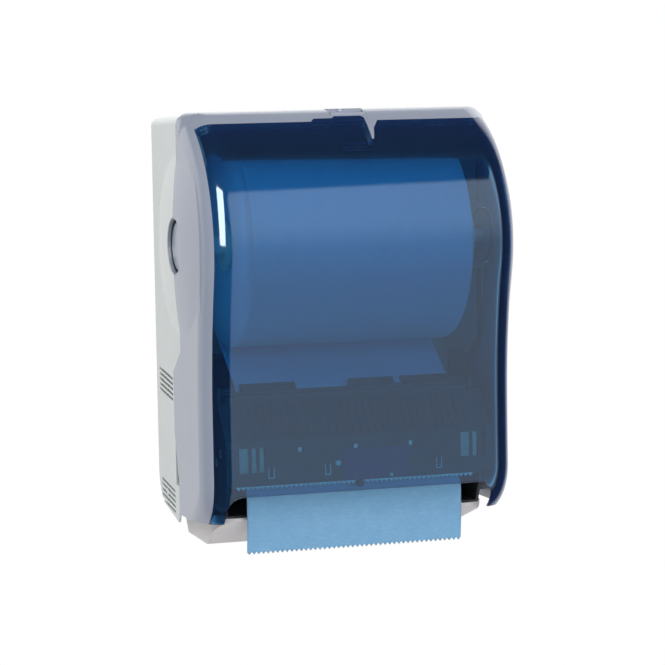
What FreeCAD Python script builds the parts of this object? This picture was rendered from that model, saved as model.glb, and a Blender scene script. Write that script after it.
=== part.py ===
import FreeCAD
import Part
import Sketcher
import math
import os

# Automatic roll towel dispenser, in millimetres. The back of the housing lies on the wall at
# Y = 0, the user stands at -Y, +X is to the user's right and +Z is up. The origin is on the
# wall face, half way across it.

Vector = FreeCAD.Vector
Rotation = FreeCAD.Rotation

SIZES = {
    # Housing on the wall
    "housing_half_width": 181.0,
    "housing_wall": 2.5,
    "back_wall": 3.0,
    "housing_top_at_wall": 208.0,
    "housing_top_at_split": 213.0,
    "housing_corner": 9.0,
    "split_depth": 118.0,
    "split_gap": 0.8,
    "step_top": -52.0,
    "step_bottom": -78.0,
    "step_depth": 83.0,
    "louvre_block_top": -209.0,
    "louvre_block_bottom": -252.0,
    "louvre_block_radius": 57.0,
    "heel_depth": 20.0,
    "heel_bottom": -238.0,
    "heel_top": -204.0,
    "heel_radius": 42.0,
    "floor_lip": 25.0,
    "screw_hole_radius": 3.25,
    "screw_boss_radius": 9.0,
    "screw_boss_height": 3.0,
    "screw_half_pitch": 105.0,
    "upper_screw_height": 150.0,
    "lower_screw_height": -14.0,
    # Louvres in the sides of the housing
    "louvre_back": 14.0,
    "louvre_front": 76.0,
    "louvre_drop": 7.0,
    "louvre_opening": 2.8,
    "louvre_pitch": 6.0,
    "upper_louvre_height": -80.0,
    "lower_louvre_height": -210.0,
    # Cover
    "cover_lap": 1.0,
    "cover_wall": 2.8,
    "cover_top": 216.0,
    "brow_depth": 81.2,
    "brow_height": 66.0,
    "brow_radius": 160.3,
    "brow_end_angle": 13.6,
    "brow_blend": 34.0,
    "waist_radius": 605.0,
    "chin_height": -189.0,
    "chin_radius": 66.0,
    "leg_bottom": -238.6,
    "leg_rear_depth": 98.5,
    "leg_rear_bottom": -241.0,
    "wedge_top": -149.0,
    "wedge_bottom": -202.0,
    "front_corner": 30.0,
    "top_corner": 10.0,
    "mouth_top": -207.0,
    "mouth_inset": 26.0,
    "mouth_corner": 17.0,
    "window_inset": 11.0,
    "window_wrap": 34.0,
    "shoulder_run": 29.0,
    "shoulder_drop": 97.0,
    "window_top_angle": 59.3,
    "tab_left": -36.0,
    "tab_step": -11.0,
    "tab_right": 27.5,
    "tab_depth": 153.5,
    "tab_shoulder_depth": 157.5,
    "tab_corner": 4.0,
    "finger_right": 41.0,
    "finger_waist": 33.0,
    "finger_waist_height": 196.0,
    "finger_tip": 26.0,
    "finger_tip_width": 2.5,
    "finger_tip_height": 184.0,
    # Round swelling in each side
    "dome_depth": 128.0,
    "dome_height": 66.0,
    "dome_rim_radius": 104.0,
    "dome_rise": 7.0,
    "dome_corner": 48.0,
    "hub_opening_radius": 32.0,
    # Cover hinge
    "hinge_depth": 40.0,
    "hinge_height": -224.0,
    "hinge_pin_radius": 4.0,
    "hinge_boss_radius": 9.0,
    "ear_thickness": 3.0,
    "ear_inset": 6.5,
    "ear_pad_start": 100.0,
    "ear_pad_end": 116.0,
    "fit_gap": 0.3,
    "running_gap": 0.05,
    # Roll
    "roll_depth": 121.0,
    "roll_height": 67.0,
    "roll_radius": 116.5,
    "roll_width": 254.0,
    "core_radius": 22.0,
    "core_wall": 2.0,
    # Roll arms and hubs
    "arm_inset": 20.0,
    "arm_thickness": 4.0,
    "arm_pivot_depth": 12.0,
    "arm_pivot_half_height": 15.0,
    "arm_barrel_radius": 6.0,
    "arm_pin_radius": 2.5,
    "arm_head_radius": 26.0,
    "arm_root_half_height": 13.0,
    "lug_height": 6.0,
    "hub_flange_radius": 30.0,
    "hub_flange_thickness": 3.0,
    "hub_neck_radius": 12.0,
    "hub_shaft_radius": 8.0,
    "hub_plug_length": 13.0,
    "hub_plug_tip_radius": 14.0,
    "hub_cap_radius": 28.5,
    "hub_cap_thickness": 3.0,
    "hub_cap_rise": 0.5,
    # Towel path
    "paper_thickness": 0.4,
    "web_slope": 35.0,
    "web_bend_depth": 148.5,
    "tail_depth": 188.0,
    "tail_joint": 2.0,
    "tail_bottom": -278.0,
    "tail_tooth_height": 3.0,
    "tail_tooth_pitch": 5.52,
    "tail_curl": 4.0,
    # Mechanism frame
    "frame_inset": 31.0,
    "frame_plate": 3.0,
    "frame_top": -112.0,
    "frame_bottom": -236.0,
    "frame_floor": 2.5,
    "frame_front_bottom": -206.0,
    "bar_depth": 157.5,
    "bar_radius": 2.4,
    "bar_foot": 14.0,
    "left_foot_start": -122.0,
    "left_foot_end": -57.0,
    "middle_foot_start": 7.0,
    "middle_foot_end": 60.0,
    "right_foot_start": 69.0,
    "right_foot_end": 126.0,
    "bar_knob_x": 7.0,
    "guide_radius": 3.5,
    # Mechanism hood
    "hood_wall": 2.3,
    "hood_inset": 19.0,
    "hood_top_depth": 160.0,
    "hood_top": -108.0,
    "hood_brow_depth": 192.0,
    "hood_brow": -149.0,
    "hood_front_depth": 194.5,
    "hood_front_top": -156.0,
    "hood_bottom": -199.0,
    "rib_reach": 135.0,
    "rib_end": 3.0,
    "slot_left": 125.0,
    "slot_right": 136.5,
    "slot_width": 6.0,
    "slot_bar": 3.0,
    "slot_top": -156.0,
    "slot_bottom": -184.0,
    "slot_raise": 4.0,
    "peep_size": 5.5,
    "peep_pitch": 65.5,
    "peep_height": -160.5,
    "clip_first": -100.0,
    "clip_step": 66.0,
    "clip_last": 98.0,
    "clip_width": 8.0,
    "clip_top": -178.0,
    "clip_bottom": -191.0,
    "rib_pitch": 9.0,
    "rib_width": 1.6,
    "rib_rise": 1.4,
    # Feed and pinch rollers
    "feed_depth": 150.0,
    "feed_height": -176.0,
    "feed_radius": 12.0,
    "feed_shaft_radius": 3.0,
    "pinch_radius": 9.0,
    "pinch_shaft_radius": 2.5,
    "nip_gap": 1.0,
    "nip_angle": 32.5,
    "bush_wall": 2.0,
    "sleeve_count": 4,
    "sleeve_width": 48.0,
    # Drive
    "gear_module": 1.2,
    "gear_width": 6.0,
    "gear_gap": 1.5,
    "feed_gear_teeth": 36,
    "idler_teeth": 20,
    "pinion_teeth": 10,
    "idler_direction": 19.0,
    "pinion_direction": 16.0,
    "gear_backlash": 0.35,
    "motor_radius": 14.0,
    "motor_length": 60.0,
    "motor_shaft_radius": 1.5,
    "idler_post_radius": 3.0,
    "gear_cover_wall": 1.8,
    # Battery box
    "battery_box_half_width": 125.0,
    "battery_box_depth": 50.0,
    "battery_box_top": -72.0,
    "battery_box_wall": 2.0,
    "lid_thickness": 2.5,
    "lid_hinge_inset": 4.0,
    "lid_ear": 4.0,
    "lid_pin_radius": 0.8,
    "cell_radius": 16.4,
    "cell_length": 61.0,
    "cell_depth": 26.5,
    # Tear bar, sensor and lamp
    "tear_bar_inset": 11.0,
    "tear_bar_thickness": 1.0,
    "tear_bar_top": -193.0,
    "tear_tooth_pitch": 5.6,
    "tear_tooth_height": 3.5,
    "sensor_radius": 4.0,
    "sensor_x": 4.0,
    "panel_left": -16.0,
    "panel_right": 63.0,
    "panel_top": -163.0,
    "panel_bottom": -198.0,
    "panel_thickness": 1.6,
    "panel_sink": 0.8,
    "lamp_x": 41.0,
    "lamp_height": -195.0,
    "lamp_radius": 2.0,
    "button_x": -22.0,
    "button_height": -178.0,
    "button_radius": 3.0,
    "button_rise": 2.5,
    # Circuit board behind the hood
    "board_left": 68.0,
    "board_right": 124.0,
    "board_bottom": -189.0,
    "board_top": -162.0,
    "board_thickness": 1.6,
    "board_standoff": 5.0,
    "standoff_radius": 2.0,
    # Nose under the mechanism
    "nose_inset": 22.0,
    "nose_bottom": -271.0,
    "nose_front": 181.0,
    "nose_wall": 2.5,
    "nose_corner": 26.0,
    "nose_front_slope": 46.0,
    "nose_back_slope": 25.5,
    "nose_end_slope": 38.0,
    # Cover latch
    "latch_left": -10.0,
    "latch_right": 31.0,
    "latch_front": 151.0,
    "latch_rear": 128.0,
    "latch_top": 217.0,
    "latch_bottom": 196.0,
    "latch_cup_bottom": 184.5,
    "latch_cup_wall": 2.0,
    "latch_travel": 4.0,
    "lock_x": 5.0,
    "lock_radius": 5.5,
    "cam_length": 20.0,
    "cam_width": 5.0,
    "cam_top": 195.0,
    "cam_thickness": 2.5,
    "apron_left": -8.0,
    "apron_right": 20.0,
    "apron_front": 192.0,
    "apron_bottom": 166.0,
    "button_slope": 4.0,
    "tongue_left": -8.0,
    "tongue_right": 14.0,
    "tongue_rise": 2.0,
    "tongue_thickness": 2.4,
    "tongue_tip": 104.0,
    "barb_clearance": 4.5,
    "barb_bite": 0.5,
    "spring_x": 23.0,
    "spring_radius": 4.0,
    "spring_wire": 0.8,
    "spring_turns": 3.0,
    "strike_thickness": 1.5,
    "strike_root": 98.0,
    "strike_depth": 112.5,
    "strike_edge": 201.5,
}


class Dim:
    # A size that keeps the sheet expression that it comes from.

    def __init__(self, value, text):
        self.value = float(value)
        self.text = text

    def __add__(self, other):
        other = dim(other)
        return Dim(self.value + other.value, f"({self.text} + {other.text})")

    def __radd__(self, other):
        return dim(other) + self

    def __sub__(self, other):
        other = dim(other)
        return Dim(self.value - other.value, f"({self.text} - {other.text})")

    def __rsub__(self, other):
        return dim(other) - self

    def __mul__(self, other):
        other = dim(other)
        return Dim(self.value * other.value, f"({self.text} * {other.text})")

    def __rmul__(self, other):
        return dim(other) * self

    def __truediv__(self, other):
        other = dim(other)
        return Dim(self.value / other.value, f"({self.text} / {other.text})")

    def __neg__(self):
        return Dim(-self.value, f"(-1 * {self.text})")


def dim(value):
    if isinstance(value, Dim):
        return value
    return Dim(value, f"({value:.9g})")


def root(value):
    return Dim(math.sqrt(value.value), f"sqrt({value.text})")


def sine(angle):
    angle = dim(angle)
    return Dim(math.sin(math.radians(angle.value)), f"sin({angle.text})")


def cosine(angle):
    angle = dim(angle)
    return Dim(math.cos(math.radians(angle.value)), f"cos({angle.text})")


doc = FreeCAD.newDocument("roll_towel_dispenser")
size_sheet = doc.addObject("Spreadsheet::Sheet", "sizes")
layout_sheet = doc.addObject("Spreadsheet::Sheet", "layout")
size = {}
layout = {}
nodes = []

for row, (alias, value) in enumerate(SIZES.items(), start=1):
    size_sheet.set(f"A{row}", alias)
    size_sheet.set(f"B{row}", str(value))
    size_sheet.setAlias(f"B{row}", alias)
    size[alias] = Dim(value, f"sizes.{alias}")
doc.recompute()


class Sizes:
    # Reads a driving or worked-out size by its name, as in s.cover_top.

    def __getattr__(self, alias):
        return size[alias] if alias in size else layout[alias]


s = Sizes()


def derived(alias, value):
    # Keeps a worked-out size in the layout sheet, so that later expressions stay short.
    row = len(layout) + 1
    layout_sheet.set(f"A{row}", alias)
    layout_sheet.set(f"B{row}", "=" + value.text)
    layout_sheet.setAlias(f"B{row}", alias)
    layout[alias] = Dim(value.value, f"layout.{alias}")
    return layout[alias]


def bind(feature, path, value):
    value = dim(value)
    feature.setExpression(path, value.text)
    return value.value


def node(feature, name):
    feature.Label = name
    nodes.append(feature)
    return feature


def place(feature, x=0, y=0, z=0, rotation=None):
    x, y, z = dim(x), dim(y), dim(z)
    feature.Placement = FreeCAD.Placement(
        Vector(x.value, y.value, z.value), rotation or Rotation()
    )
    for axis, value in (("x", x), ("y", y), ("z", z)):
        feature.setExpression(f"Placement.Base.{axis}", value.text)
    return feature


def new_body(name):
    return doc.addObject("PartDesign::Body", name)


def arc_geometry(start, stop, radius):
    # The shorter arc between two points; a positive radius turns to the left.
    chord = stop - start
    half = chord.Length / 2
    left = Vector(-chord.y, chord.x, 0).normalize()
    sagitta = math.sqrt(max(radius * radius - half * half, 0))
    centre = (start + stop) / 2 + left * math.copysign(sagitta, radius)
    circle = Part.Circle(centre, Vector(0, 0, 1), abs(radius))
    first, last = (start, stop) if radius > 0 else (stop, start)
    angles = [math.atan2(p.y - centre.y, p.x - centre.x) for p in (first, last)]
    if angles[1] < angles[0]:
        angles[1] += 2 * math.pi
    return Part.ArcOfCircle(circle, angles[0], angles[1])


def add_outline(sketch, corners):
    # Each corner is (a, b) or (a, b, radius) where an arc leads to the next corner.
    corners = [tuple(dim(v) for v in corner) for corner in corners]
    first = sketch.GeometryCount
    ends = []
    for k, corner in enumerate(corners):
        following = corners[(k + 1) % len(corners)]
        start = Vector(corner[0].value, corner[1].value, 0)
        stop = Vector(following[0].value, following[1].value, 0)
        if len(corner) == 3:
            sketch.addGeometry(arc_geometry(start, stop, corner[2].value), False)
            ends.append((1, 2) if corner[2].value > 0 else (2, 1))
        else:
            sketch.addGeometry(Part.LineSegment(start, stop), False)
            ends.append((1, 2))
    for k, corner in enumerate(corners):
        edge = first + k
        following = first + (k + 1) % len(corners)
        start, stop = ends[k]
        next_start = ends[(k + 1) % len(corners)][0]
        sketch.addConstraint(Sketcher.Constraint("Coincident", edge, stop, following, next_start))
        for kind, value in (("DistanceX", corner[0]), ("DistanceY", corner[1])):
            index = sketch.addConstraint(
                Sketcher.Constraint(kind, -1, 1, edge, start, value.value)
            )
            sketch.setExpression(f"Constraints[{index}]", value.text)
        if len(corner) == 3:
            radius = abs(corner[2].value)
            text = corner[2].text if corner[2].value > 0 else (-corner[2]).text
            index = sketch.addConstraint(Sketcher.Constraint("Radius", edge, radius))
            sketch.setExpression(f"Constraints[{index}]", text)


def add_circle(sketch, a, b, radius):
    a, b, radius = dim(a), dim(b), dim(radius)
    circle = Part.Circle(Vector(a.value, b.value, 0), Vector(0, 0, 1), radius.value)
    edge = sketch.addGeometry(circle, False)
    for kind, value in (("DistanceX", a), ("DistanceY", b)):
        index = sketch.addConstraint(Sketcher.Constraint(kind, -1, 1, edge, 3, value.value))
        sketch.setExpression(f"Constraints[{index}]", value.text)
    index = sketch.addConstraint(Sketcher.Constraint("Radius", edge, radius.value))
    sketch.setExpression(f"Constraints[{index}]", radius.text)


def new_sketch(body, plane, offset, outlines=(), circles=()):
    # YZ sketches draw (Y, Z) and face +X, XZ sketches draw (X, Z) and face -Y,
    # XY sketches draw (X, Y) and face +Z.
    support = next(f for f in body.Origin.OriginFeatures if f.Role == plane + "_Plane")
    sketch = body.newObject("Sketcher::SketchObject", body.Name + "_outline")
    sketch.AttachmentSupport = [(support, "")]
    sketch.MapMode = "FlatFace"
    offset = dim(offset)
    sketch.AttachmentOffset = FreeCAD.Placement(Vector(0, 0, offset.value), Rotation())
    sketch.setExpression("AttachmentOffset.Base.z", offset.text)
    for corners in outlines:
        add_outline(sketch, corners)
    for a, b, radius in circles:
        add_circle(sketch, a, b, radius)
    return sketch


def pad(body, sketch, length, both_ways=False):
    feature = body.newObject("PartDesign::Pad", body.Name + "_pad")
    feature.Profile = sketch
    feature.Length = bind(feature, "Length", length)
    feature.Midplane = both_ways
    doc.recompute()
    return feature


def pocket(body, sketch, length, both_ways=False):
    # Cuts from the sketch towards the back of its plane.
    before = body.Shape.Volume
    feature = body.newObject("PartDesign::Pocket", body.Name + "_pocket")
    feature.Profile = sketch
    feature.Length = bind(feature, "Length", length)
    feature.Midplane = both_ways
    doc.recompute()
    if body.Shape.Volume > before - 1e-3:
        raise RuntimeError(f"{feature.Name} cuts nothing")
    return feature


def revolve(body, sketch, axis):
    feature = body.newObject("PartDesign::Revolution", body.Name + "_turn")
    feature.Profile = sketch
    feature.ReferenceAxis = (sketch, [axis])
    feature.Angle = 360
    doc.recompute()
    return feature


def named_edges(shape, test):
    return [f"Edge{k}" for k, edge in enumerate(shape.Edges, start=1) if test(edge)]


def round_edges(body, base, test, radius):
    names = named_edges(base.Shape, test)
    if not names:
        raise RuntimeError(f"{body.Name} has no edge to round")
    feature = body.newObject("PartDesign::Fillet", body.Name + "_round")
    feature.Base = (base, names)
    feature.Radius = bind(feature, "Radius", radius)
    doc.recompute()
    return feature


def line_pattern(body, features, direction, length, copies):
    feature = body.newObject("PartDesign::LinearPattern", body.Name + "_row")
    feature.Originals = features
    axis = next(f for f in body.Origin.OriginFeatures if f.Role == direction + "_Axis")
    feature.Direction = (axis, [""])
    feature.Length = bind(feature, "Length", length)
    feature.Occurrences = copies
    body.Tip = feature
    doc.recompute()
    return feature


def round_pattern(body, features, direction, copies):
    feature = body.newObject("PartDesign::PolarPattern", body.Name + "_ring")
    feature.Originals = features
    axis = next(f for f in body.Origin.OriginFeatures if f.Role == direction + "_Axis")
    feature.Axis = (axis, [""])
    feature.Angle = 360
    feature.Occurrences = copies
    body.Tip = feature
    doc.recompute()
    return feature


def prism(name, plane, start, stop, outline=None, circles=()):
    # A body with one outline pushed from start to stop along the plane's normal.
    body = new_body(name)
    outlines = [outline] if outline else []
    sketch = new_sketch(body, plane, start, outlines, circles)
    pad(body, sketch, dim(stop) - dim(start))
    return body


def block(name, x, y, z):
    # A box between pairs of limits.
    feature = doc.addObject("Part::Box", name)
    for side, (low, high) in (("Length", x), ("Width", y), ("Height", z)):
        setattr(feature, side, bind(feature, side, dim(high) - dim(low)))
    return place(feature, x[0], y[0], z[0])


def rod(name, axis, start, stop, a, b, radius):
    # A cylinder along X, Y or Z between two limits, through the point (a, b) across it.
    feature = doc.addObject("Part::Cylinder", name)
    feature.Radius = bind(feature, "Radius", radius)
    feature.Height = bind(feature, "Height", dim(stop) - dim(start))
    if axis == "X":
        return place(feature, start, a, b, Rotation(Vector(0, 1, 0), 90))
    if axis == "Y":
        return place(feature, a, start, b, Rotation(Vector(1, 0, 0), -90))
    return place(feature, a, b, start)


def cut(name, base, *tools):
    for tool in tools:
        feature = doc.addObject("Part::Cut", name + "_cut")
        feature.Base = base
        feature.Tool = tool
        doc.recompute()
        if feature.Shape.Volume > base.Shape.Volume - 1e-3:
            raise RuntimeError(f"{tool.Name} misses {base.Name}")
        base = feature
    return base


def fuse(name, *pieces):
    feature = doc.addObject("Part::MultiFuse", name + "_union")
    feature.Shapes = list(pieces)
    doc.recompute()
    return feature


def common(name, *pieces):
    feature = doc.addObject("Part::MultiCommon", name + "_overlap")
    feature.Shapes = list(pieces)
    doc.recompute()
    return feature


def group(name, *pieces):
    # Separate solids kept in one node.
    feature = doc.addObject("Part::Compound", name)
    feature.Links = list(pieces)
    doc.recompute()
    return feature


def mirrored(name, source):
    # The left-hand copy of a right-hand piece.
    feature = doc.addObject("Part::Mirroring", name)
    feature.Source = source
    feature.Normal = Vector(1, 0, 0)
    doc.recompute()
    return feature


def along_y(edge, x=None):
    # A straight edge that runs mostly front to back, at the given distance from the middle.
    ends = [v.Point for v in edge.Vertexes]
    if len(ends) != 2 or abs((ends[1] - ends[0]).y) < 1:
        return False
    return x is None or all(abs(abs(p.x) - x.value) < 0.01 for p in ends)


# Widths that follow the housing.
derived("cover_half_width", s.housing_half_width + s.cover_lap)
derived("mouth_half_width", s.cover_half_width - s.mouth_inset)
derived("hub_cap_face", s.cover_half_width + s.hub_cap_rise)
derived("frame_half_width", s.cover_half_width - s.frame_inset)
derived("hood_right", s.cover_half_width - s.hood_inset)
derived("tear_bar_half_width", s.frame_half_width - s.tear_bar_inset)
derived("nose_half_width", s.cover_half_width - s.nose_inset)

# Where the cover's front curves meet. The brow bulges forward over the roll, the waist is
# hollow below it and the chin turns back under the mechanism.
waist_centre_depth = derived(
    "waist_centre_depth",
    s.brow_depth + (s.brow_radius + s.waist_radius) * cosine(s.brow_end_angle),
)
waist_height = derived(
    "waist_height",
    s.brow_height - (s.brow_radius + s.waist_radius) * sine(s.brow_end_angle),
)
waist_depth = derived("waist_depth", waist_centre_depth - s.waist_radius)
cover_split = derived("cover_split", s.split_depth + s.split_gap / 2)
housing_split = derived("housing_split", s.split_depth - s.split_gap / 2)


def front_curve(inset):
    # Corners of the cover's front face, moved inwards by the wall.
    top = s.cover_top - inset
    brow = s.brow_radius - inset
    chin = s.chin_radius - inset
    reach = root(brow * brow - (top - s.brow_height) * (top - s.brow_height))
    return [
        (-(s.brow_depth + reach), top, brow),
        (
            -(s.brow_depth + brow * cosine(s.brow_end_angle)),
            s.brow_height - brow * sine(s.brow_end_angle),
            -(s.waist_radius + inset),
        ),
        (-(waist_depth - inset), waist_height),
        (-(waist_depth - inset), s.chin_height, chin),
    ]


def corner_fillet(name, base, half_width, corner, top_corner, top):
    # Rounds the upright corners. The rounding narrows from the brow back to the split.
    split = -cover_split.value
    brow = front_curve(s.cover_top - top)[0][0].value

    def radius_at(point):
        share = min(max((split - point.y) / (split - brow), 0), 1)
        return top_corner.value + (corner.value - top_corner.value) * share

    choices = []
    for k, edge in enumerate(base.Shape.Edges, start=1):
        ends = sorted([v.Point for v in edge.Vertexes], key=lambda p: -p.y)
        level = abs(ends[0].x - ends[1].x) < 0.01
        beside = level and abs(abs(ends[0].x) - half_width.value) < 0.01
        curved = edge.Curve.TypeId == "Part::GeomCircle"
        on_top = all(abs(p.z - top.value) < 0.01 for p in ends)
        run = abs(ends[0].y - ends[1].y)
        upright = run < 0.01 and ends[0].y < -waist_depth.value + corner.value / 2
        below_chin = max(p.z for p in ends) < s.leg_rear_bottom.value
        sloping = below_chin and run > 1 and abs(ends[0].z - ends[1].z) > 1
        if beside and (curved or on_top or upright or sloping):
            choices.append((k, radius_at(ends[0]), radius_at(ends[1])))
    feature = doc.addObject("Part::Fillet", name)
    feature.Base = base
    feature.Edges = choices
    doc.recompute()
    return feature


def cover_form(name, inset, half_width, corner, top_corner):
    # The cover's outer or inner form as a solid block, running past its open back and bottom.
    body = new_body(name)
    chin = s.chin_radius - inset
    drop = s.chin_height - s.leg_rear_bottom + s.cover_wall
    reach = root(chin * chin - drop * drop)
    chin_end = waist_depth - s.chin_radius + reach
    run_out = s.front_corner / chin
    bottom = s.chin_height - drop - reach * run_out
    back = -(s.hinge_depth + s.fit_gap)
    tail = [
        (-chin_end, s.chin_height - drop),
        (-(chin_end - drop * run_out), bottom),
        (back, bottom),
        (back, s.cover_top - inset),
    ]
    sketch = new_sketch(body, "YZ", 0, [front_curve(inset) + tail])
    base = pad(body, sketch, 2 * half_width, both_ways=True)
    top = s.cover_top - inset

    def is_brow(edge):
        ends = [v.Point for v in edge.Vertexes]
        flat = all(abs(p.z - top.value) < 0.01 for p in ends)
        across = abs(ends[0].x - ends[-1].x) > half_width.value
        return flat and across and ends[0].y < -s.split_depth.value - 1

    round_edges(body, base, is_brow, s.brow_blend - inset)
    return corner_fillet(name + "_corners", body, half_width, corner, top_corner, top)


def cover_edge(name):
    # The cover's side outline: everything in front of the split, above the legs' ends.
    reach = 2 * waist_depth
    half = s.cover_half_width + s.dome_rise + s.cover_wall
    return prism(
        name,
        "YZ",
        -half,
        half,
        [
            (-reach, s.leg_bottom),
            (-waist_depth, s.leg_bottom),
            (-s.leg_rear_depth, s.leg_rear_bottom),
            (-s.leg_rear_depth, s.wedge_bottom),
            (-(s.step_depth + s.split_gap / 2), s.wedge_top),
            (-(s.step_depth + s.split_gap / 2), s.step_bottom - s.split_gap / 2),
            (-cover_split, s.step_top - s.split_gap / 2),
            (-cover_split, s.cover_top + s.dome_rise),
            (-reach, s.cover_top + s.dome_rise),
        ],
    )


def side_dome(name, inset, half_width, reach):
    # The part of a large ball that swells out of the right-hand side, and its left copy.
    rim = s.dome_rim_radius
    ball_radius = (rim * rim + s.dome_rise * s.dome_rise) / (2 * s.dome_rise)
    ball = doc.addObject("Part::Sphere", name + "_ball")
    ball.Radius = bind(ball, "Radius", ball_radius - inset)
    centre_x = s.housing_half_width + s.dome_rise - ball_radius
    place(ball, centre_x, -s.dome_depth, s.dome_height)
    slab = block(
        name + "_slab",
        (half_width - 3 * s.dome_rise, half_width + 2 * s.dome_rise),
        (-(s.dome_depth + rim + 2 * s.dome_rise), -reach),
        (s.dome_height - rim - s.dome_rise, s.dome_height + rim + s.dome_rise),
    )
    return common(name, ball, slab)


def with_domes(name, form, dome):
    return fuse(name, form, dome, mirrored(name + "_left", dome))


def hub_openings(name):
    # The round openings at the ends of the roll, through both sides.
    half = s.housing_half_width + 2 * s.dome_rise
    return rod(name, "X", -half, half, -s.roll_depth, s.roll_height, s.hub_opening_radius)


def cover_shell():
    outer = cover_form(
        "cover_outer", dim(0), s.cover_half_width, s.front_corner, s.top_corner
    )
    inner = cover_form(
        "cover_inner",
        s.cover_wall,
        s.cover_half_width - s.cover_wall,
        s.front_corner - s.cover_wall,
        s.top_corner + 2 * s.cover_wall,
    )
    # The swelling of each side rolls over into the front corner.
    limits = []
    for label, inset in (("outer_limit", dim(0)), ("inner_limit", s.cover_wall)):
        limits.append(
            cover_form(
                label,
                inset,
                s.cover_half_width + s.dome_rise - inset,
                s.dome_corner - inset,
                s.dome_corner - inset,
            )
        )
    outer_dome = common(
        "cover_dome",
        side_dome("cover_cap", dim(0), s.cover_half_width, cover_split),
        limits[0],
    )
    inner_dome = common(
        "cover_hollow",
        side_dome("cover_hollow_cap", s.cover_wall, s.cover_half_width, s.step_depth),
        limits[1],
    )
    whole = cut(
        "cover_shell",
        with_domes("cover_with_domes", outer, outer_dome),
        with_domes("cover_inside", inner, inner_dome),
        hub_openings("cover_hub_openings"),
    )
    shell = common("cover_ahead", whole, cover_edge("cover_outline"))
    mouth = prism(
        "mouth_cut",
        "XZ",
        s.leg_rear_depth,
        waist_depth + s.front_corner,
        [
            (-s.mouth_half_width, s.leg_rear_bottom - s.front_corner),
            (s.mouth_half_width, s.leg_rear_bottom - s.front_corner),
            (s.mouth_half_width, s.mouth_top),
            (-s.mouth_half_width, s.mouth_top),
        ],
    )
    round_edges(
        mouth,
        mouth.Tip,
        lambda edge: along_y(edge, s.mouth_half_width)
        and edge.CenterOfMass.z > s.mouth_top.value - 1,
        s.mouth_corner,
    )
    button_well = block(
        "latch_well_cut",
        (s.latch_left - s.fit_gap, s.latch_right + s.fit_gap),
        (-(s.latch_front + s.fit_gap), -(s.latch_rear - s.fit_gap)),
        (s.latch_bottom, s.cover_top + s.front_corner),
    )
    return cut("cover_cut", shell, mouth, button_well), inner


def window_wrap():
    # On the right the window rolls over the corner, below a shoulder that falls to the side.
    left = s.cover_half_width - s.front_corner
    shoulder = s.cover_half_width - s.window_inset
    right = shoulder + s.shoulder_run
    top = s.brow_height + s.brow_radius * sine(s.window_top_angle)
    bottom = s.leg_rear_bottom - s.front_corner
    far = s.brow_depth + s.brow_radius + s.front_corner
    chin = waist_depth - s.chin_radius
    core = prism(
        "wrap_core",
        "YZ",
        left - s.cover_wall,
        right + s.cover_wall,
        front_curve(s.window_wrap)
        + [
            (-chin, s.chin_height - (s.chin_radius - s.window_wrap)),
            (-chin, bottom - s.cover_wall),
            (-(s.brow_depth - s.cover_wall), bottom - s.cover_wall),
            (-(s.brow_depth - s.cover_wall), s.cover_top - s.window_wrap),
        ],
    )
    face = prism(
        "wrap_face",
        "XZ",
        s.brow_depth,
        far,
        [
            (left, top),
            (shoulder, top),
            (right, top - s.shoulder_drop),
            (right, bottom),
            (left, bottom),
        ],
    )
    return cut("window_wrap", face, core)


def window_region():
    # Everything in front of the frame: below the window's top edge and between its sides.
    # A tab reaches up to the latch button, beside a pointed finger of the frame.
    reach = s.brow_radius + s.front_corner
    below = prism(
        "window_below_top",
        "YZ",
        -(s.cover_half_width - s.window_inset),
        s.cover_half_width - s.window_inset,
        [
            (-s.brow_depth, s.brow_height),
            (
                -(s.brow_depth + reach * cosine(s.window_top_angle)),
                s.brow_height + reach * sine(s.window_top_angle),
            ),
            (-(s.brow_depth + 2 * reach), s.brow_height + reach * sine(s.window_top_angle)),
            (-(s.brow_depth + 2 * reach), s.leg_rear_bottom - s.front_corner),
            (-s.brow_depth, s.leg_rear_bottom - s.front_corner),
        ],
    )
    ahead = -(s.brow_depth + reach)
    tab = prism(
        "window_tab",
        "XY",
        s.finger_tip_height,
        s.cover_top,
        [
            (s.tab_left, ahead),
            (s.tab_right, ahead),
            (s.tab_right, -(s.tab_depth + s.tab_corner)),
            (s.tab_right - s.tab_corner, -s.tab_depth),
            (s.tab_step + s.tab_corner, -s.tab_depth),
            (s.tab_step, -s.tab_shoulder_depth),
            (s.tab_left + s.tab_corner, -s.tab_shoulder_depth),
            (s.tab_left, -(s.tab_shoulder_depth + s.tab_corner)),
        ],
    )
    finger = prism(
        "frame_finger",
        "XZ",
        s.split_depth,
        s.brow_depth + reach,
        [
            (s.finger_tip, s.finger_tip_height),
            (s.finger_tip + s.finger_tip_width, s.finger_tip_height),
            (s.finger_waist, s.finger_waist_height),
            (s.finger_right, s.brow_height + s.brow_radius * sine(s.window_top_angle)),
            (s.finger_right, s.cover_top),
            (s.tab_right, s.cover_top),
        ],
    )
    return cut("window_region", fuse("window_with_tab", below, window_wrap(), tab), finger)


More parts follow.
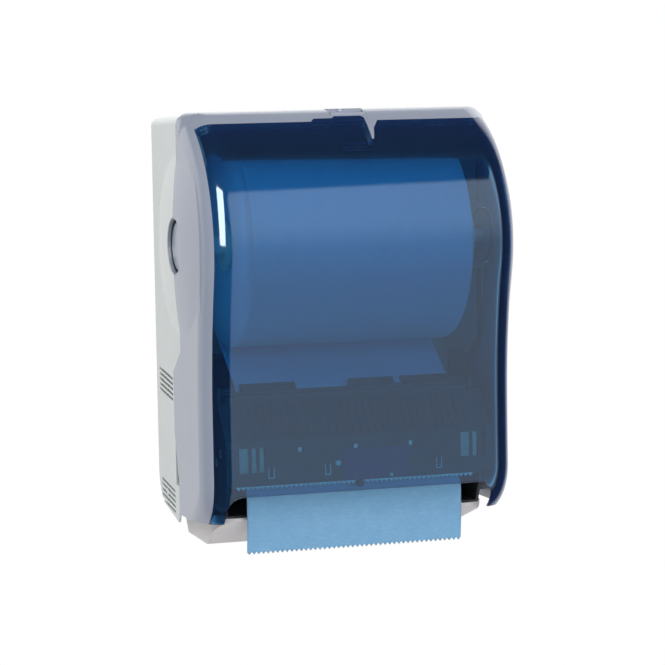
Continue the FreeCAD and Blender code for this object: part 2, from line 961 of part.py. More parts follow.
def hinge_ear(name):
    # A flat arm inside the housing wall that carries the cover on its hinge pin.
    outside = s.cover_half_width - s.ear_inset
    body = new_body(name)
    half_root = 2 * s.hinge_boss_radius
    arm = new_sketch(
        body,
        "YZ",
        outside - s.ear_thickness,
        [
            [
                (-s.ear_pad_end, s.hinge_height - s.hinge_boss_radius),
                (-s.hinge_depth, s.hinge_height - s.hinge_boss_radius, s.hinge_boss_radius),
                (-(s.hinge_depth - s.hinge_boss_radius), s.hinge_height, s.hinge_boss_radius),
                (-s.hinge_depth, s.hinge_height + s.hinge_boss_radius),
                (-s.ear_pad_end, s.hinge_height + half_root),
            ]
        ],
    )
    pad(body, arm, s.ear_thickness)
    wall = s.cover_half_width - s.cover_wall
    foot = new_sketch(
        body,
        "YZ",
        outside,
        [
            [
                (-s.ear_pad_end, s.hinge_height - s.hinge_boss_radius),
                (-s.ear_pad_start, s.hinge_height - s.hinge_boss_radius),
                (-s.ear_pad_start, s.hinge_height + s.hinge_boss_radius),
                (-s.ear_pad_end, s.hinge_height + s.hinge_boss_radius),
            ]
        ],
    )
    pad(body, foot, wall - outside)
    hole = new_sketch(
        body,
        "YZ",
        outside,
        circles=[(-s.hinge_depth, s.hinge_height, s.hinge_pin_radius + s.running_gap)],
    )
    pocket(body, hole, s.ear_thickness)
    return body


def make_cover():
    shell, inner = cover_shell()
    region = window_region()
    ear = hinge_ear("right_ear")
    frame = cut("cover_frame_shell", shell, region)
    node(fuse("cover_frame", frame, ear, mirrored("left_ear", ear)), "cover_frame")
    node(common("cover_window", shell, region), "cover_window")
    return inner


def make_housing():
    # Side outline: split line, step, hinge block, heel.
    block_drop = s.louvre_block_top - s.hinge_height
    block_reach = root(s.louvre_block_radius * s.louvre_block_radius - block_drop * block_drop)
    foot_drop = s.hinge_height - s.louvre_block_bottom
    foot_reach = root(s.louvre_block_radius * s.louvre_block_radius - foot_drop * foot_drop)
    step = s.step_depth - s.split_gap / 2
    outline = [
        (0, s.housing_top_at_wall),
        (-housing_split, s.housing_top_at_split),
        (-housing_split, s.step_top + s.split_gap / 2),
        (-step, s.step_bottom + s.split_gap / 2),
        (-step, s.louvre_block_top),
        (-(s.hinge_depth + block_reach), s.louvre_block_top, s.louvre_block_radius),
        (-(s.hinge_depth + foot_reach), s.louvre_block_bottom),
        (-s.heel_depth, s.heel_bottom, s.heel_radius),
        (0, s.heel_top),
    ]
    outer = new_body("housing_outer")
    base = pad(
        outer, new_sketch(outer, "YZ", 0, [outline]), 2 * s.housing_half_width, both_ways=True
    )

    def is_top_side(edge):
        return along_y(edge, s.housing_half_width) and edge.CenterOfMass.z > 0 and all(
            v.Point.z > s.housing_top_at_wall.value - 1 for v in edge.Vertexes
        )

    round_edges(outer, base, is_top_side, s.housing_corner)
    wall = s.housing_wall
    rise = (s.housing_top_at_split - s.housing_top_at_wall) / housing_split
    inner = new_body("housing_inner")
    base = pad(
        inner,
        new_sketch(
            inner,
            "YZ",
            0,
            [
                [
                    (-s.back_wall, s.housing_top_at_wall + rise * s.back_wall - wall),
                    (-2 * housing_split, s.housing_top_at_wall + 2 * rise * housing_split - wall),
                    (-2 * housing_split, 2 * s.louvre_block_bottom),
                    (-s.floor_lip, 2 * s.louvre_block_bottom),
                    (-s.floor_lip, s.heel_bottom + wall),
                    (-(s.heel_depth + wall / 2), s.heel_bottom + wall, s.heel_radius - wall),
                    (-s.back_wall, s.heel_top),
                ]
            ],
        ),
        2 * (s.housing_half_width - wall),
        both_ways=True,
    )
    round_edges(
        inner,
        base,
        lambda edge: along_y(edge, s.housing_half_width - wall)
        and all(v.Point.z > s.step_top.value for v in edge.Vertexes),
        s.housing_corner - wall,
    )
    dome = side_dome("housing_dome", dim(0), s.housing_half_width, s.arm_pivot_depth)
    dome = cut(
        "housing_dome_part",
        dome,
        block(
            "dome_front_cut",
            (0, 2 * s.housing_half_width),
            (-3 * s.split_depth, -housing_split),
            (-2 * s.housing_top_at_wall, 2 * s.housing_top_at_wall),
        ),
    )
    hollow = side_dome("housing_hollow", wall, s.housing_half_width, s.arm_pivot_depth)
    shell = cut(
        "housing_shell",
        with_domes("housing_with_domes", outer, dome),
        with_domes("housing_inside", inner, hollow),
    )
    pieces = [shell]
    for x in (-s.screw_half_pitch, s.screw_half_pitch):
        for z in (s.upper_screw_height, s.lower_screw_height):
            stop = -s.back_wall
            start = -(s.back_wall + s.screw_boss_height)
            pieces.append(rod("screw_boss", "Y", start, stop, x, z, s.screw_boss_radius))
    for side in (-1, 1):
        # Hinge bosses inside the walls, and the knuckles of the roll arms.
        wall_x = s.housing_half_width - wall
        ear_x = s.cover_half_width - s.ear_inset + s.fit_gap
        low, high = (ear_x, wall_x) if side > 0 else (-wall_x, -ear_x)
        pieces.append(
            rod(
                "hinge_boss", "X", low, high, -s.hinge_depth, s.hinge_height, s.hinge_boss_radius
            )
        )
        pivot_x = side * (s.cover_half_width - s.arm_inset)
        for end in (-1, 1):
            near = s.roll_height + end * (s.arm_pivot_half_height + s.fit_gap)
            far = near + end * s.lug_height
            low, high = (near, far) if end > 0 else (far, near)
            pieces.append(
                rod("knuckle", "Z", low, high, pivot_x, -s.arm_pivot_depth, s.arm_barrel_radius)
            )
            pieces.append(
                block(
                    "knuckle_root",
                    (pivot_x - s.arm_barrel_radius, pivot_x + s.arm_barrel_radius),
                    (-s.arm_pivot_depth, -s.back_wall),
                    (low, high),
                )
            )
    solid = fuse("housing_with_bosses", *pieces)
    holes = [hub_openings("housing_hub_openings")]
    for x in (-s.screw_half_pitch, s.screw_half_pitch):
        for z in (s.upper_screw_height, s.lower_screw_height):
            holes.append(
                rod(
                    "screw_hole",
                    "Y",
                    -(s.back_wall + 2 * s.screw_boss_height),
                    s.back_wall,
                    x,
                    z,
                    s.screw_hole_radius,
                )
            )
    for side in (-1, 1):
        pivot_x = side * (s.cover_half_width - s.arm_inset)
        reach = s.arm_pivot_half_height + 2 * s.lug_height
        holes.append(
            rod(
                "arm_pin_hole",
                "Z",
                s.roll_height - reach,
                s.roll_height + reach,
                pivot_x,
                -s.arm_pivot_depth,
                s.arm_pin_radius,
            )
        )
        inside = s.cover_half_width - s.ear_inset - s.ear_thickness
        outside = s.housing_half_width + wall
        low, high = (inside, outside) if side > 0 else (-outside, -inside)
        holes.append(
            rod(
                "hinge_pin_hole", "X", low, high, -s.hinge_depth, s.hinge_height,
                s.hinge_pin_radius,
            )
        )
    holes.append(louvres("upper_louvres", s.upper_louvre_height))
    holes.append(louvres("lower_louvres", s.lower_louvre_height))
    return node(cut("rear_housing", solid, *holes), "rear_housing")


def louvres(name, height):
    # Five slanted slots through both sides, one below the other.
    body = new_body(name)
    slot = new_sketch(
        body,
        "YZ",
        0,
        [
            [
                (-s.louvre_back, height),
                (-s.louvre_front, height - s.louvre_drop),
                (-s.louvre_front, height - s.louvre_drop - s.louvre_opening),
                (-s.louvre_back, height - s.louvre_opening),
            ]
        ],
    )
    first = pad(body, slot, 3 * s.housing_half_width, both_ways=True)
    count = 5
    row = line_pattern(body, [first], "Z", (count - 1) * s.louvre_pitch, count)
    row.Reversed = True
    doc.recompute()
    middle = block(
        name + "_keep",
        (-(s.housing_half_width - 2 * s.housing_wall), s.housing_half_width - 2 * s.housing_wall),
        (-2 * s.louvre_front, 0),
        (height - 2 * s.louvre_front, height + s.louvre_front),
    )
    return cut(name + "_sides", body, middle)


def make_hinge_pins():
    outside = s.housing_half_width
    inside = s.cover_half_width - s.ear_inset - s.ear_thickness - s.fit_gap
    head = 1.5 * s.hinge_pin_radius
    pin = fuse(
        "right_hinge_pin",
        rod("pin_shank", "X", inside, outside, -s.hinge_depth, s.hinge_height, s.hinge_pin_radius),
        rod(
            "pin_head", "X", inside - s.ear_thickness, inside, -s.hinge_depth, s.hinge_height, head
        ),
    )
    node(group("hinge_pins", pin, mirrored("left_hinge_pin", pin)), "hinge_pins")


def ring(name, start, stop, outer_radius, inner_radius):
    # A plain tube along X about the body's own axis.
    return prism(
        name, "YZ", start, stop, circles=[(0, 0, outer_radius), (0, 0, inner_radius)]
    )


def make_roll():
    half = s.roll_width / 2
    core = ring("core_tube", -half, half, s.core_radius, s.core_radius - s.core_wall)
    node(place(core, 0, -s.roll_depth, s.roll_height), "roll_core")
    roll = ring("wound_towel", -half, half, s.roll_radius, s.core_radius)
    node(place(roll, 0, -s.roll_depth, s.roll_height), "towel_roll")


def turned(name, outline):
    # A piece turned about the X axis; the outline is drawn in (X, radius).
    body = new_body(name)
    sketch = new_sketch(body, "XZ", 0, [outline])
    revolve(body, sketch, "H_Axis")
    return body


def make_arms():
    pivot = s.cover_half_width - s.arm_inset
    plate_in = pivot - s.arm_thickness / 2
    plate_out = pivot + s.arm_thickness / 2
    low = s.roll_height - s.arm_pivot_half_height
    high = s.roll_height + s.arm_pivot_half_height
    blade = prism(
        "arm_blade",
        "YZ",
        plate_in,
        plate_out,
        [
            (-s.arm_pivot_depth, s.roll_height - s.arm_root_half_height),
            (-s.arm_pivot_depth, s.roll_height + s.arm_root_half_height),
            (-s.roll_depth, s.roll_height + s.arm_head_radius, s.arm_head_radius),
            (-(s.roll_depth + s.arm_head_radius), s.roll_height, s.arm_head_radius),
            (-s.roll_depth, s.roll_height - s.arm_head_radius),
        ],
    )
    barrel = rod("arm_barrel", "Z", low, high, pivot, -s.arm_pivot_depth, s.arm_barrel_radius)
    arm = cut(
        "arm",
        fuse("arm_solid", blade, barrel),
        rod(
            "arm_pin_bore", "Z", low, high, pivot, -s.arm_pivot_depth,
            s.arm_pin_radius + s.running_gap,
        ),
        rod(
            "hub_bore", "X", plate_in, plate_out, -s.roll_depth, s.roll_height,
            s.hub_shaft_radius + s.running_gap,
        ),
    )
    node(arm, "right_roll_arm")
    node(mirrored("left_arm", arm), "left_roll_arm")

    reach = s.arm_pivot_half_height + s.fit_gap + s.lug_height
    pin = rod(
        "arm_pin", "Z", s.roll_height - reach, s.roll_height + reach, pivot,
        -s.arm_pivot_depth, s.arm_pin_radius,
    )
    node(group("arm_pin_pair", pin, mirrored("left_arm_pin", pin)), "arm_pins")

    # The hub holds the roll end on a tapered plug and turns in the arm.
    roll_end = s.roll_width / 2
    flange = roll_end + s.fit_gap
    seat = s.core_radius - s.core_wall - 2 * s.running_gap
    cap_in = s.hub_cap_face - s.hub_cap_thickness
    hub = turned(
        "hub_turning",
        [
            (flange - s.hub_plug_length, 0),
            (cap_in, 0),
            (cap_in, s.hub_shaft_radius),
            (plate_in - s.fit_gap, s.hub_shaft_radius),
            (plate_in - s.fit_gap, s.hub_neck_radius),
            (flange + s.hub_flange_thickness, s.hub_neck_radius),
            (flange + s.hub_flange_thickness, s.hub_flange_radius),
            (flange, s.hub_flange_radius),
            (flange, seat),
            (flange - s.hub_plug_length, s.hub_plug_tip_radius),
        ],
    )
    place(hub, 0, -s.roll_depth, s.roll_height)
    node(hub, "right_hub")
    node(mirrored("left_hub", hub), "left_hub")
    cap = turned(
        "hub_cap_turning",
        [
            (cap_in, 0),
            (s.hub_cap_face, 0),
            (s.hub_cap_face, s.hub_cap_radius - s.hub_cap_thickness / 2),
            (s.hub_cap_face - s.hub_cap_thickness / 2, s.hub_cap_radius),
            (cap_in, s.hub_cap_radius),
        ],
    )
    place(cap, 0, -s.roll_depth, s.roll_height)
    node(cap, "right_hub_cap")
    node(mirrored("left_hub_cap", cap), "left_hub_cap")


# Nip between the feed roller and the pinch roller, and where the drive gears sit.
nip_reach = s.feed_radius + s.nip_gap + s.pinch_radius
pinch_depth = derived("pinch_depth", s.feed_depth + nip_reach * cosine(s.nip_angle))
pinch_height = derived("pinch_height", s.feed_height + nip_reach * sine(s.nip_angle))
nip_share = s.feed_radius + s.nip_gap / 2
nip_depth = derived("nip_depth", s.feed_depth + nip_share * cosine(s.nip_angle))
nip_height = derived("nip_height", s.feed_height + nip_share * sine(s.nip_angle))
idler_reach = s.gear_module * (s.feed_gear_teeth + s.idler_teeth) / 2
idler_depth = derived("idler_depth", s.feed_depth - idler_reach * cosine(s.idler_direction))
idler_height = derived("idler_height", s.feed_height + idler_reach * sine(s.idler_direction))
pinion_reach = s.gear_module * (s.idler_teeth + s.pinion_teeth) / 2
pinion_depth = derived("pinion_depth", idler_depth - pinion_reach * cosine(s.pinion_direction))
pinion_height = derived(
    "pinion_height", idler_height + pinion_reach * sine(s.pinion_direction)
)
plate_in = derived("plate_in", s.frame_half_width - s.frame_plate)
gear_start = derived("gear_start", s.frame_half_width + s.gear_gap)
gear_stop = derived("gear_stop", s.frame_half_width + s.gear_gap + s.gear_width)
hood_floor = derived("hood_floor", s.hood_front_depth - s.hood_wall)

# The web leaves the underside of the roll and bends down over a fixed guide bar.
web_reach = s.roll_radius + s.fit_gap
web_start_depth = derived("web_start_depth", s.roll_depth - web_reach * sine(s.web_slope))
web_start_height = derived("web_start_height", s.roll_height - web_reach * cosine(s.web_slope))
web_run = derived("web_run", (s.web_bend_depth - web_start_depth) / cosine(s.web_slope))
web_bend_height = derived("web_bend_height", web_start_height - web_run * sine(s.web_slope))
guide_reach = s.guide_radius + s.paper_thickness + s.fit_gap
half_bend = (90 - s.web_slope) / 2
guide_depth = derived("guide_depth", s.web_bend_depth - guide_reach)
guide_height = derived(
    "guide_height", web_bend_height - guide_reach * sine(half_bend) / cosine(half_bend)
)
foot_lift = (s.paper_thickness / 2 + s.fit_gap + s.bar_radius / 2) / cosine(s.web_slope)
bar_drop = (s.bar_depth - s.web_bend_depth) * sine(s.web_slope) / cosine(s.web_slope)
bar_height = derived("bar_height", web_bend_height - bar_drop + foot_lift)


def hood_profile(shift):
    # The hood's front line from its top edge down, moved back by the wall.
    return [
        (-(s.hood_top_depth - shift), s.hood_top),
        (-(s.hood_brow_depth - shift), s.hood_brow),
        (-(s.hood_front_depth - shift), s.hood_front_top),
    ]


def make_frame():
    wall = s.hood_wall
    rear = s.back_wall
    heel = s.floor_lip + s.fit_gap
    lug_back = guide_depth - s.guide_radius - wall
    lug_front = s.hood_top_depth + wall
    lug_top = bar_height + 3 * s.bar_radius
    body = new_body("frame_sides")
    sides = (
        [
            (-rear, s.frame_top),
            (-lug_back, s.frame_top),
            (-lug_back, lug_top),
            (-lug_front, lug_top),
            (-lug_front, s.hood_top + s.fit_gap),
            (-(s.hood_top_depth - wall), s.hood_top + s.fit_gap),
        ]
        + hood_profile(wall)
        + [
            (-hood_floor, s.frame_front_bottom),
            (-(s.nose_front - s.nose_wall), s.frame_bottom),
            (-heel, s.frame_bottom),
            (-heel, s.frame_bottom + 2 * s.frame_floor),
            (-rear, s.heel_top + s.housing_wall),
        ]
    )
    pad(body, new_sketch(body, "YZ", 0, [sides]), 2 * s.frame_half_width, both_ways=True)
    beyond = 2 * s.nose_front
    back = rear + s.frame_plate
    hollow = [
        (-back, lug_top + wall),
        (-beyond, lug_top + wall),
        (-beyond, s.frame_bottom + s.frame_floor),
        (-(heel + s.frame_floor), s.frame_bottom + s.frame_floor),
        (-(heel + s.frame_floor), s.frame_bottom + 3 * s.frame_floor),
        (-back, s.heel_top + s.frame_floor),
    ]
    pocket(body, new_sketch(body, "YZ", 0, [hollow]), 2 * plate_in, both_ways=True)
    tools = []
    for name, depth, height, radius in (
        ("feed_bore", s.feed_depth, s.feed_height, s.feed_shaft_radius + s.bush_wall),
        ("pinch_bore", pinch_depth, pinch_height, s.pinch_shaft_radius + s.bush_wall),
        ("bar_bore", s.bar_depth, bar_height, s.bar_radius + s.running_gap),
    ):
        for low in (-s.frame_half_width, plate_in):
            tools.append(rod(name, "X", low, low + s.frame_plate, -depth, height, radius))
    tools.append(
        rod(
            "motor_shaft_hole", "X", plate_in, s.frame_half_width, -pinion_depth,
            pinion_height, 2 * s.motor_shaft_radius,
        )
    )
    frame = cut("frame_with_bores", body, *tools)
    idler_post = rod(
        "idler_post", "X", plate_in, gear_stop, -idler_depth, idler_height, s.idler_post_radius
    )
    guide = rod(
        "web_guide", "X", -s.frame_half_width, s.frame_half_width, -guide_depth,
        guide_height, s.guide_radius,
    )
    node(fuse("frame_with_post", frame, idler_post, guide), "module_frame")
    bushes = []
    for depth, height, radius in (
        (s.feed_depth, s.feed_height, s.feed_shaft_radius),
        (pinch_depth, pinch_height, s.pinch_shaft_radius),
    ):
        for low in (-s.frame_half_width, plate_in):
            bush = ring("bush", 0, s.frame_plate, radius + s.bush_wall, radius + s.running_gap)
            bushes.append(place(bush, low, -depth, height))
    node(group("bush_set", *bushes), "roller_bushes")


def rectangle(left, right, low, high):
    return [(left, low), (right, low), (right, high), (left, high)]


def make_hood():
    body = new_body("hood_shell")
    back = [(-hood_floor, s.hood_bottom)] + hood_profile(s.hood_wall)[::-1]
    outline = hood_profile(0) + [(-s.hood_front_depth, s.hood_bottom)] + back
    sketch = new_sketch(body, "YZ", -s.frame_half_width, [outline])
    pad(body, sketch, s.frame_half_width + s.hood_right)
    # A row of small ribs on the slope.
    slope = (s.hood_top - s.hood_brow) / (s.hood_brow_depth - s.hood_top_depth)
    low_depth = s.hood_brow_depth - s.rib_end
    high_depth = s.hood_top_depth + s.rib_end
    low_line = s.hood_top - slope * (low_depth - s.hood_top_depth)
    high_line = s.hood_top - slope * (high_depth - s.hood_top_depth)
    count = int(2 * s.rib_reach.value / s.rib_pitch.value) + 1
    first_x = -(count - 1) / 2 * s.rib_pitch - s.rib_width / 2
    rib = new_sketch(
        body,
        "YZ",
        first_x,
        [
            [
                (-high_depth, high_line),
                (-low_depth, low_line),
                (-(low_depth + s.rib_rise), low_line + s.rib_rise),
                (-(high_depth + s.rib_rise), high_line + s.rib_rise),
            ]
        ],
    )
    first = pad(body, rib, s.rib_width)
    line_pattern(body, [first], "X", (count - 1) * s.rib_pitch, count)
    # Slots at both ends, peep holes and the pocket of the sensor panel.
    left, right = s.slot_left, s.slot_right
    holes = [
        rectangle(-right, -left, s.slot_bottom, s.slot_top),
        rectangle(left, right, s.slot_bottom + s.slot_raise, s.slot_top + s.slot_raise),
    ]
    narrow = s.slot_width
    for k in range(2):
        near = left - (k + 1) * (narrow + s.slot_bar)
        far = right + s.slot_bar + k * (narrow + s.slot_bar)
        holes.append(rectangle(-(near + narrow), -near, s.slot_bottom, s.slot_top))
        low, high = s.slot_bottom + s.slot_raise, s.slot_top + s.slot_raise
        holes.append(rectangle(far, far + narrow, low, high))
    half = s.peep_size / 2
    for k in (-1, 0, 1):
        x = k * s.peep_pitch
        holes.append(rectangle(x - half, x + half, s.peep_height - half, s.peep_height + half))
    front = s.hood_front_depth + s.hood_wall
    button = (s.button_x, s.button_height, s.button_radius + s.fit_gap)
    lamp = (s.lamp_x, s.lamp_height, s.lamp_radius + s.fit_gap)
    pocket(body, new_sketch(body, "XZ", front, holes, [button, lamp]), 3 * s.hood_wall)
    well = rectangle(s.panel_left, s.panel_right, s.panel_bottom, s.panel_top)
    pocket(body, new_sketch(body, "XZ", front, [well]), s.hood_wall + s.panel_sink)
    # Moulded U-shaped clips on the face.
    clips = []
    reach = s.hood_front_depth + s.rib_rise
    for x in (s.clip_first, s.clip_first + s.clip_step, s.clip_last):
        limits = (-reach, -s.hood_front_depth)
        half = s.clip_width / 2
        side = s.clip_width / 4
        outer = block("clip", (x - half, x + half), limits, (s.clip_bottom, s.clip_top))
        inner = block(
            "clip_gap", (x - side, x + side), limits, (s.clip_bottom + side, s.clip_top)
        )
        clips.append(cut("clip_form", outer, inner))
    node(fuse("hood_with_clips", body, *clips), "mechanism_hood")
    # Panel with its lamp, feed button and the hand sensor under the hood.
    panel = block(
        "panel_plate",
        (s.panel_left + s.fit_gap, s.panel_right - s.fit_gap),
        (-(s.hood_front_depth - s.panel_sink + s.panel_thickness),
         -(s.hood_front_depth - s.panel_sink)),
        (s.panel_bottom + s.fit_gap, s.panel_top - s.fit_gap),
    )
    lamp_back = s.hood_front_depth - s.hood_wall
    lamp_front = s.hood_front_depth + s.panel_thickness
    lamp_hole = rod(
        "lamp_hole", "Y", -lamp_front, -lamp_back, s.lamp_x, s.lamp_height, s.lamp_radius
    )
    node(cut("panel_with_hole", panel, lamp_hole), "sensor_panel")
    node(
        rod(
            "lamp_body", "Y", -lamp_front, -lamp_back, s.lamp_x, s.lamp_height, s.lamp_radius
        ),
        "status_lamp",
    )
    stem = rod(
        "button_stem", "Y", -(s.hood_front_depth + s.button_rise), -(hood_floor - s.button_rise),
        s.button_x, s.button_height, s.button_radius,
    )
    flange = rod(
        "button_flange", "Y", -(hood_floor - s.fit_gap), -(hood_floor - s.button_rise),
        s.button_x, s.button_height, 1.5 * s.button_radius,
    )
    node(fuse("button_form", stem, flange), "feed_button")
    eye_back = s.hood_front_depth - s.hood_wall
    eye_front = s.hood_front_depth + s.hood_wall
    eye_height = s.hood_bottom - s.sensor_radius
    eye = rod(
        "sensor_eye", "Y", -eye_front, -eye_back, s.sensor_x, eye_height, s.sensor_radius
    )
    seat = block(
        "sensor_seat",
        (s.sensor_x - s.sensor_radius, s.sensor_x + s.sensor_radius),
        (-s.hood_front_depth, -eye_back),
        (eye_height, s.hood_bottom),
    )
    node(fuse("sensor_form", eye, seat), "hand_sensor")


def make_tear_bar():
    body = new_body("tear_strip")
    line = s.hood_bottom - s.tear_tooth_height / 4
    strip = new_sketch(
        body,
        "XZ",
        hood_floor - s.tear_bar_thickness,
        [rectangle(-s.tear_bar_half_width, s.tear_bar_half_width, line, s.tear_bar_top)],
    )
    pad(body, strip, s.tear_bar_thickness)
    half = s.tear_tooth_pitch / 2
    left = -s.tear_bar_half_width
    tooth = new_sketch(
        body,
        "XZ",
        hood_floor - s.tear_bar_thickness,
        [
            [
                (left, line),
                (left + half, line - s.tear_tooth_height),
                (left + 2 * half, line),
                (left + half, line + s.tear_tooth_height / 2),
            ]
        ],
    )
    first = pad(body, tooth, s.tear_bar_thickness)
    count = int(2 * s.tear_bar_half_width.value / s.tear_tooth_pitch.value + 0.5)
    line_pattern(body, [first], "X", (count - 1) * s.tear_tooth_pitch, count)
    node(body, "tear_bar")


def make_rollers():
    shaft = rod(
        "feed_shaft_rod", "X", -s.frame_half_width, gear_stop, -s.feed_depth, s.feed_height,
        s.feed_shaft_radius,
    )
    node(shaft, "feed_shaft")
    sleeves = []
    pitch = s.roll_width / s.sleeve_count.value
    for k in range(int(s.sleeve_count.value)):
        middle = (k + 0.5) * pitch - s.roll_width / 2
        sleeve = ring(
            "feed_sleeve", -s.sleeve_width / 2, s.sleeve_width / 2, s.feed_radius,
            s.feed_shaft_radius,
        )
        sleeves.append(place(sleeve, middle, -s.feed_depth, s.feed_height))
    node(group("feed_sleeve_set", *sleeves), "feed_sleeves")
    pinch_shaft = rod(
        "pinch_rod", "X", -s.frame_half_width, s.frame_half_width, -pinch_depth,
        pinch_height, s.pinch_shaft_radius,
    )
    pieces = [pinch_shaft]
    for k in range(int(s.sleeve_count.value)):
        middle = (k + 0.5) * pitch - s.roll_width / 2
        low = middle - s.sleeve_width / 2
        pieces.append(
            rod(
                "pinch_wheel", "X", low, low + s.sleeve_width, -pinch_depth, pinch_height,
                s.pinch_radius,
            )
        )
    node(fuse("pinch_form", *pieces), "pinch_roller")


def gear(name, teeth, bore, phase):
    # A spur gear about its own X axis, with a first tooth turned to the given angle.
    count = int(teeth.value)
    pitch_radius = s.gear_module * teeth / 2
    tip = pitch_radius + 0.9 * s.gear_module
    foot = pitch_radius - 1.15 * s.gear_module
    body = new_body(name)
    disc = new_sketch(body, "YZ", 0, circles=[(0, 0, foot), (0, 0, bore)])
    pad(body, disc, s.gear_width)
    half_pitch = math.pi / 4 * s.gear_module - s.gear_backlash / 2
    tooth = new_sketch(
        body,
        "YZ",
        0,
        [
            [
                (foot - s.gear_module / 2, -1.35 * half_pitch),
                (pitch_radius, -1 * half_pitch),
                (tip, -0.5 * half_pitch),
                (tip, 0.5 * half_pitch),
                (pitch_radius, half_pitch),
                (foot - s.gear_module / 2, 1.35 * half_pitch),
            ]
        ],
    )
    first = pad(body, tooth, s.gear_width)
    round_pattern(body, [first], "X", count)
    body.Placement = FreeCAD.Placement(Vector(), Rotation(Vector(1, 0, 0), phase))
    return body


def make_drive():
    # The idler's direction from the feed gear fixes how the teeth interleave.
    idler_angle = s.idler_direction.value
    pinion_angle = s.pinion_direction.value
    idler_step = 360 / s.idler_teeth.value
    feed_step = 360 / s.feed_gear_teeth.value
    pinion_step = 360 / s.pinion_teeth.value
    feed_phase = idler_angle
    idler_phase = 180 + idler_angle + idler_step / 2
    share = (pinion_angle - idler_phase) / idler_step
    pinion_phase = 180 + pinion_angle + pinion_step / 2 + (share - round(share)) * pinion_step
    feed_gear = gear("feed_gear_form", s.feed_gear_teeth, s.feed_shaft_radius, feed_phase)
    node(spin(feed_gear, gear_start, s.feed_depth, s.feed_height), "feed_gear")
    idler = gear(
        "idler_form", s.idler_teeth, s.idler_post_radius + s.running_gap, idler_phase
    )
    node(spin(idler, gear_start, idler_depth, idler_height), "idler_gear")
    pinion = gear("pinion_form", s.pinion_teeth, s.motor_shaft_radius, pinion_phase)
    node(spin(pinion, gear_start, pinion_depth, pinion_height), "motor_pinion")
    can = rod(
        "motor_can", "X", plate_in - s.motor_length, plate_in, -pinion_depth,
        pinion_height, s.motor_radius,
    )
    nose = rod(
        "motor_nose", "X", plate_in, plate_in + s.frame_plate / 2, -pinion_depth,
        pinion_height, 2 * s.motor_shaft_radius - s.fit_gap,
    )
    node(fuse("motor_form", can, nose), "drive_motor")
    shaft = rod(
        "motor_shaft_rod", "X", plate_in + s.frame_plate / 2, gear_stop, -pinion_depth,
        pinion_height, s.motor_shaft_radius,
    )
    node(shaft, "motor_shaft")


def spin(body, x, depth, height):
    rotation = body.Placement.Rotation
    return place(body, x, -depth, height, rotation)


def make_gear_cover():
    # A cap over the gear train on the frame's right-hand plate.
    wall = s.gear_cover_wall
    margin = 2 * wall

    def gear_room(extra):
        big = s.gear_module * s.feed_gear_teeth / 2 + margin + extra
        small = s.gear_module * s.pinion_teeth / 2 + 2 * margin + extra
        middle = s.gear_module * s.idler_teeth / 2 + margin + extra
        lean = sine(45)
        return [
            (-idler_depth, idler_height + middle),
            (-s.feed_depth, s.feed_height + big, big),
            (-(s.feed_depth + big), s.feed_height, big),
            (-s.feed_depth, s.feed_height - big, big),
            (-(s.feed_depth - big * lean), s.feed_height - big * lean),
            (-pinion_depth, pinion_height - small, small),
            (-(pinion_depth - small), pinion_height, small),
            (-pinion_depth, pinion_height + small),
        ]

    outer = prism(
        "gear_cap", "YZ", s.frame_half_width, s.hood_right - s.fit_gap, gear_room(wall)
    )
    room = new_sketch(outer, "YZ", s.hood_right - s.fit_gap - wall, [gear_room(dim(0))])
    pocket(outer, room, s.hood_right - s.fit_gap - wall - s.frame_half_width)
    node(outer, "gear_cover")


def make_board():
    back = hood_floor - s.board_standoff
    board = block(
        "board_plate",
        (s.board_left, s.board_right),
        (-back, -(back - s.board_thickness)),
        (s.board_bottom, s.board_top),
    )
    pieces = [board]
    inset = 2 * s.standoff_radius
    for x in (s.board_left + inset, s.board_right - inset):
        for z in (s.board_bottom + inset, s.board_top - inset):
            pieces.append(rod("standoff", "Y", -hood_floor, -back, x, z, s.standoff_radius))
    chip = block(
        "board_chip",
        (s.board_left + 4 * inset, s.board_left + 7 * inset),
        (-(back - s.board_thickness), -(back - 2 * s.board_thickness)),
        (s.board_bottom + inset, s.board_bottom + 4 * inset),
    )
    node(fuse("board_form", *pieces, chip), "circuit_board")


